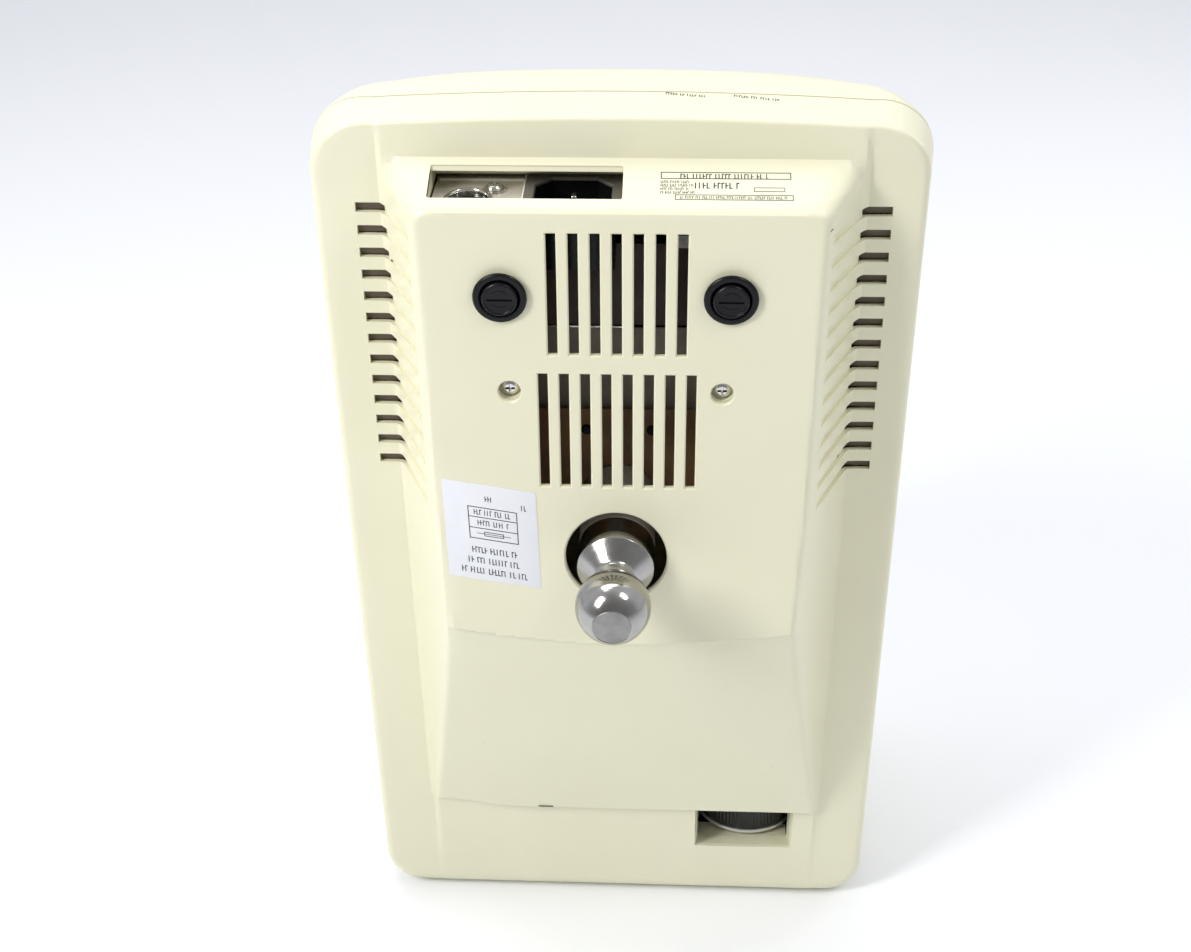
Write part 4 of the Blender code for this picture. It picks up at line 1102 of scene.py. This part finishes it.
def make_marks():
    """Small print on the rear wall, a chip on the step's edge, and a few specks. The chip is a near-black patch
    of painted shade for its notch; the specks are dirt.
    """
    def rear(a, b, lift):
        x = 14.6 + a
        y = -(0.6 + b + 0.16 * a)
        return Vector((x, y, LENGTH + BOW_CROWN - REAR_BOW * (x / HALF_WIDTH) ** 2 + 0.03 + lift))

    bm = bmesh.new()
    words(bm, 0, 13.0, 0, 1.7, rear, 61)
    words(bm, 21.5, 36.5, -2.6, 1.7, rear, 62)
    piece_from(bm, "rear_print", "ink")
    bm = bmesh.new()

    def chip_at(x, z, lift):
        return (x, -(underside_depth(x, z) + lift), z)

    loft(bm, [[chip_at(x, z, lift) for x, z in CHIP] for lift in (-0.5, 0.5)])
    for x, z, size in SPECKS:
        speck = [(x + size * math.cos(k), z + size * math.sin(k * 1.3)) for k in range(6)]
        loft(bm, [[chip_at(a, b, lift) for a, b in speck] for lift in (-0.3, 0.06)])
    piece_from(bm, "chip_and_specks", "chip")


def make_sticker():
    """The white label on the plateau: a small table with a fuse symbol, and lines of strokes."""
    low, high = corners_of("fuse_label")
    middle = (low + high) / 2
    width, height = 31.2, 37.2
    top_left = Vector((middle.x - width / 2, 0, middle.z + 21.3))
    across, drop = Vector((width, 0, -5.0)), Vector((1.0, 0, -height))

    def place(a, b, lift):
        point = top_left + across * (a / width) + drop * (b / height)
        return Vector((point.x, -(face_depth(point.z) + 0.06 + lift), point.z))

    loops = []
    for lift, inset in ((-0.04, 0.0), (0.06, 0.0), (0.10, 0.06)):
        outline = round_outline(inset, width - inset, inset, height - inset, 0.5, 3)
        loops.append([place(a, b, lift) for a, b in outline])
    piece_from(loft(bmesh.new(), loops), "paper_label", "paper", slot="white_label", node="fuse_label")

    def ink(a, b, lift):
        return place(a, b, lift + 0.08)

    bm = bmesh.new()
    words(bm, 14.0, 17.0, 4.2, 2.0, ink, 5)
    words(bm, 26.0, 28.5, 5.6, 2.0, ink, 6)
    frame_marks(bm, 8.0, 8.6, 24.5, 21.0, 0.3, ink)
    for row in (12.4, 16.6):
        mark(bm, 8.3, row, 24.2, row + 0.28, ink)
    words(bm, 10.0, 22.5, 9.6, 2.0, ink, 8)
    words(bm, 11.0, 21.5, 13.6, 2.0, ink, 9)
    frame_marks(bm, 13.0, 17.9, 19.6, 19.6, 0.25, ink)
    mark(bm, 10.6, 18.65, 22.0, 18.85, ink)
    for row, (left, right) in enumerate(((8.5, 24.0), (7.0, 25.5), (4.5, 28.0))):
        words(bm, left, right, 24.2 + row * 4.1, 2.3, ink, 41 + row)
    piece_from(bm, "paper_label_print", "ink", slot="white_label")


# ---- inner nodes, stage, lights and camera

SLOT_LOOKS = {"plated_steel": "plate", "black_aluminium": "anodised", "optical_glass": "glass",
              "circuit_board": "board", "copper_winding": "tape", "core_laminations": "core",
              "ceramic": "ceramic", "bright_plating": "bright", "black_plastic": "black",
              "turned_stainless": "stud", "cream_abs": "cream", "grey_plastic": "grey",
              "white_label": "paper", "infrared_window": "red_window"}
FLOOR_SIZE = 6.0
ROOM_STOPS = ((0.12, (0.34, 0.34, 0.35)), (0.34, (0.50, 0.51, 0.53)), (0.50, (0.93, 0.95, 1.0)))
ROOM_STRENGTH = 0.80
BALL_MIDDLE = Vector((BALL.x * MM, SEAM * MM - 0.08, BALL.z * MM))
LIGHTS = (("key", BALL_MIDDLE + Vector((-0.63, -0.43, 0.65)) * 1.15, (0.0, -0.05, 0.22), (0.26, 0.55), 8.4),
          ("second", BALL_MIDDLE + Vector((0.54, -0.19, 0.82)) * 1.3, (0.0, -0.03, 0.25), (0.22, 0.42), 3.4),
          ("rear_wash", (-0.2, 0.30, 1.45), (0.0, 0.0, 0.3), (1.0, 0.5), 5.2),
          ("rear_window", (0.95, 0.60, 0.66), (0.09, -0.04, 0.33), (0.22, 0.34), 1.6))
CAMERA_LENS, CAMERA_SENSOR = 51.81, 36.0
CAMERA_PLACE = (0.01988, SEAM * MM - 0.51764, 0.54880)
CAMERA_AXES = ((0.99876, 0.04800, -0.01328), (-0.01601, 0.56197, 0.82700), (0.04716, -0.82576, 0.56205))


def dress_inner_nodes():
    """Gives every CAD node the finish of its material slot."""
    slots = {entry["node"]: entry["material_slot"] for entry in frame["record"]["subparts"]}
    for name, obj in frame["nodes"].items():
        obj.data.materials.clear()
        obj.data.materials.append(LOOKS[SLOT_LOOKS[slots[name]]])


def make_stage():
    """A plain pale floor, a hair below the case."""
    bm = bmesh.new()
    bmesh.ops.create_grid(bm, x_segments=2, y_segments=2, size=FLOOR_SIZE)
    mesh = bpy.data.meshes.new("floor")
    bm.to_mesh(mesh)
    bm.free()
    floor = bpy.data.objects.new("floor", mesh)
    bpy.context.scene.collection.objects.link(floor)
    floor.location = (0, 0, -0.0002)
    look = finish("floor_white", (0.93, 0.94, 0.965), (0.91, 0.92, 0.95), (0.5, 0.6), patch=1.5, relief=0.02)
    mesh.materials.append(look.material)


def add_light(name, place, aim, size, power):
    data = bpy.data.lights.new(name, "AREA")
    data.shape = "RECTANGLE"
    data.size, data.size_y = size
    data.energy = power
    light = bpy.data.objects.new(name, data)
    light.location = place
    light.rotation_euler = (Vector(aim) - Vector(place)).to_track_quat("-Z", "Y").to_euler()
    bpy.context.scene.collection.objects.link(light)


def make_world():
    """A bright room, darker on the side that the underside faces, which gives the metal its reflections."""
    world = bpy.data.worlds.new("soft_room")
    world.use_nodes = True
    tree = world.node_tree
    background = tree.nodes["Background"]
    coordinates = tree.nodes.new("ShaderNodeTexCoord")
    parts = tree.nodes.new("ShaderNodeSeparateXYZ")
    ramp = tree.nodes.new("ShaderNodeValToRGB")
    spread = tree.nodes.new("ShaderNodeMapRange")
    for name, value in (("From Min", -1.0), ("From Max", 1.0)):
        spread.inputs[name].default_value = value
    tree.links.new(coordinates.outputs["Generated"], parts.inputs["Vector"])
    tree.links.new(parts.outputs["Y"], spread.inputs["Value"])
    tree.links.new(spread.outputs["Result"], ramp.inputs["Fac"])
    tree.links.new(ramp.outputs["Color"], background.inputs["Color"])
    set_stops(ramp.color_ramp, ROOM_STOPS)
    background.inputs["Strength"].default_value = ROOM_STRENGTH
    bpy.context.scene.world = world


def make_lights():
    """Two soft lights in front, whose reflections lie on the ball, and two behind and above."""
    bpy.context.scene.view_settings.view_transform = "Standard"
    make_world()
    for light in LIGHTS:
        add_light(*light)


def make_camera():
    """The camera stands in front of the underside and looks down on it."""
    data = bpy.data.cameras.new("camera")
    data.sensor_width = CAMERA_SENSOR
    data.lens = CAMERA_LENS
    data.clip_start = 0.01
    camera = bpy.data.objects.new("camera", data)
    axes = Matrix(CAMERA_AXES).transposed().to_4x4()
    camera.matrix_world = Matrix.Translation(CAMERA_PLACE) @ axes
    bpy.context.scene.collection.objects.link(camera)
    bpy.context.scene.camera = camera


dress_inner_nodes()
make_camera()
make_case()
make_louvre_fins()
make_insulation()
make_linings()
make_marks()
make_screws()
make_ball_stud()
make_fuses()
make_connectors()
make_focus_ring()
make_front_end()
make_rating_print()
make_sticker()
make_stage()
make_lights()
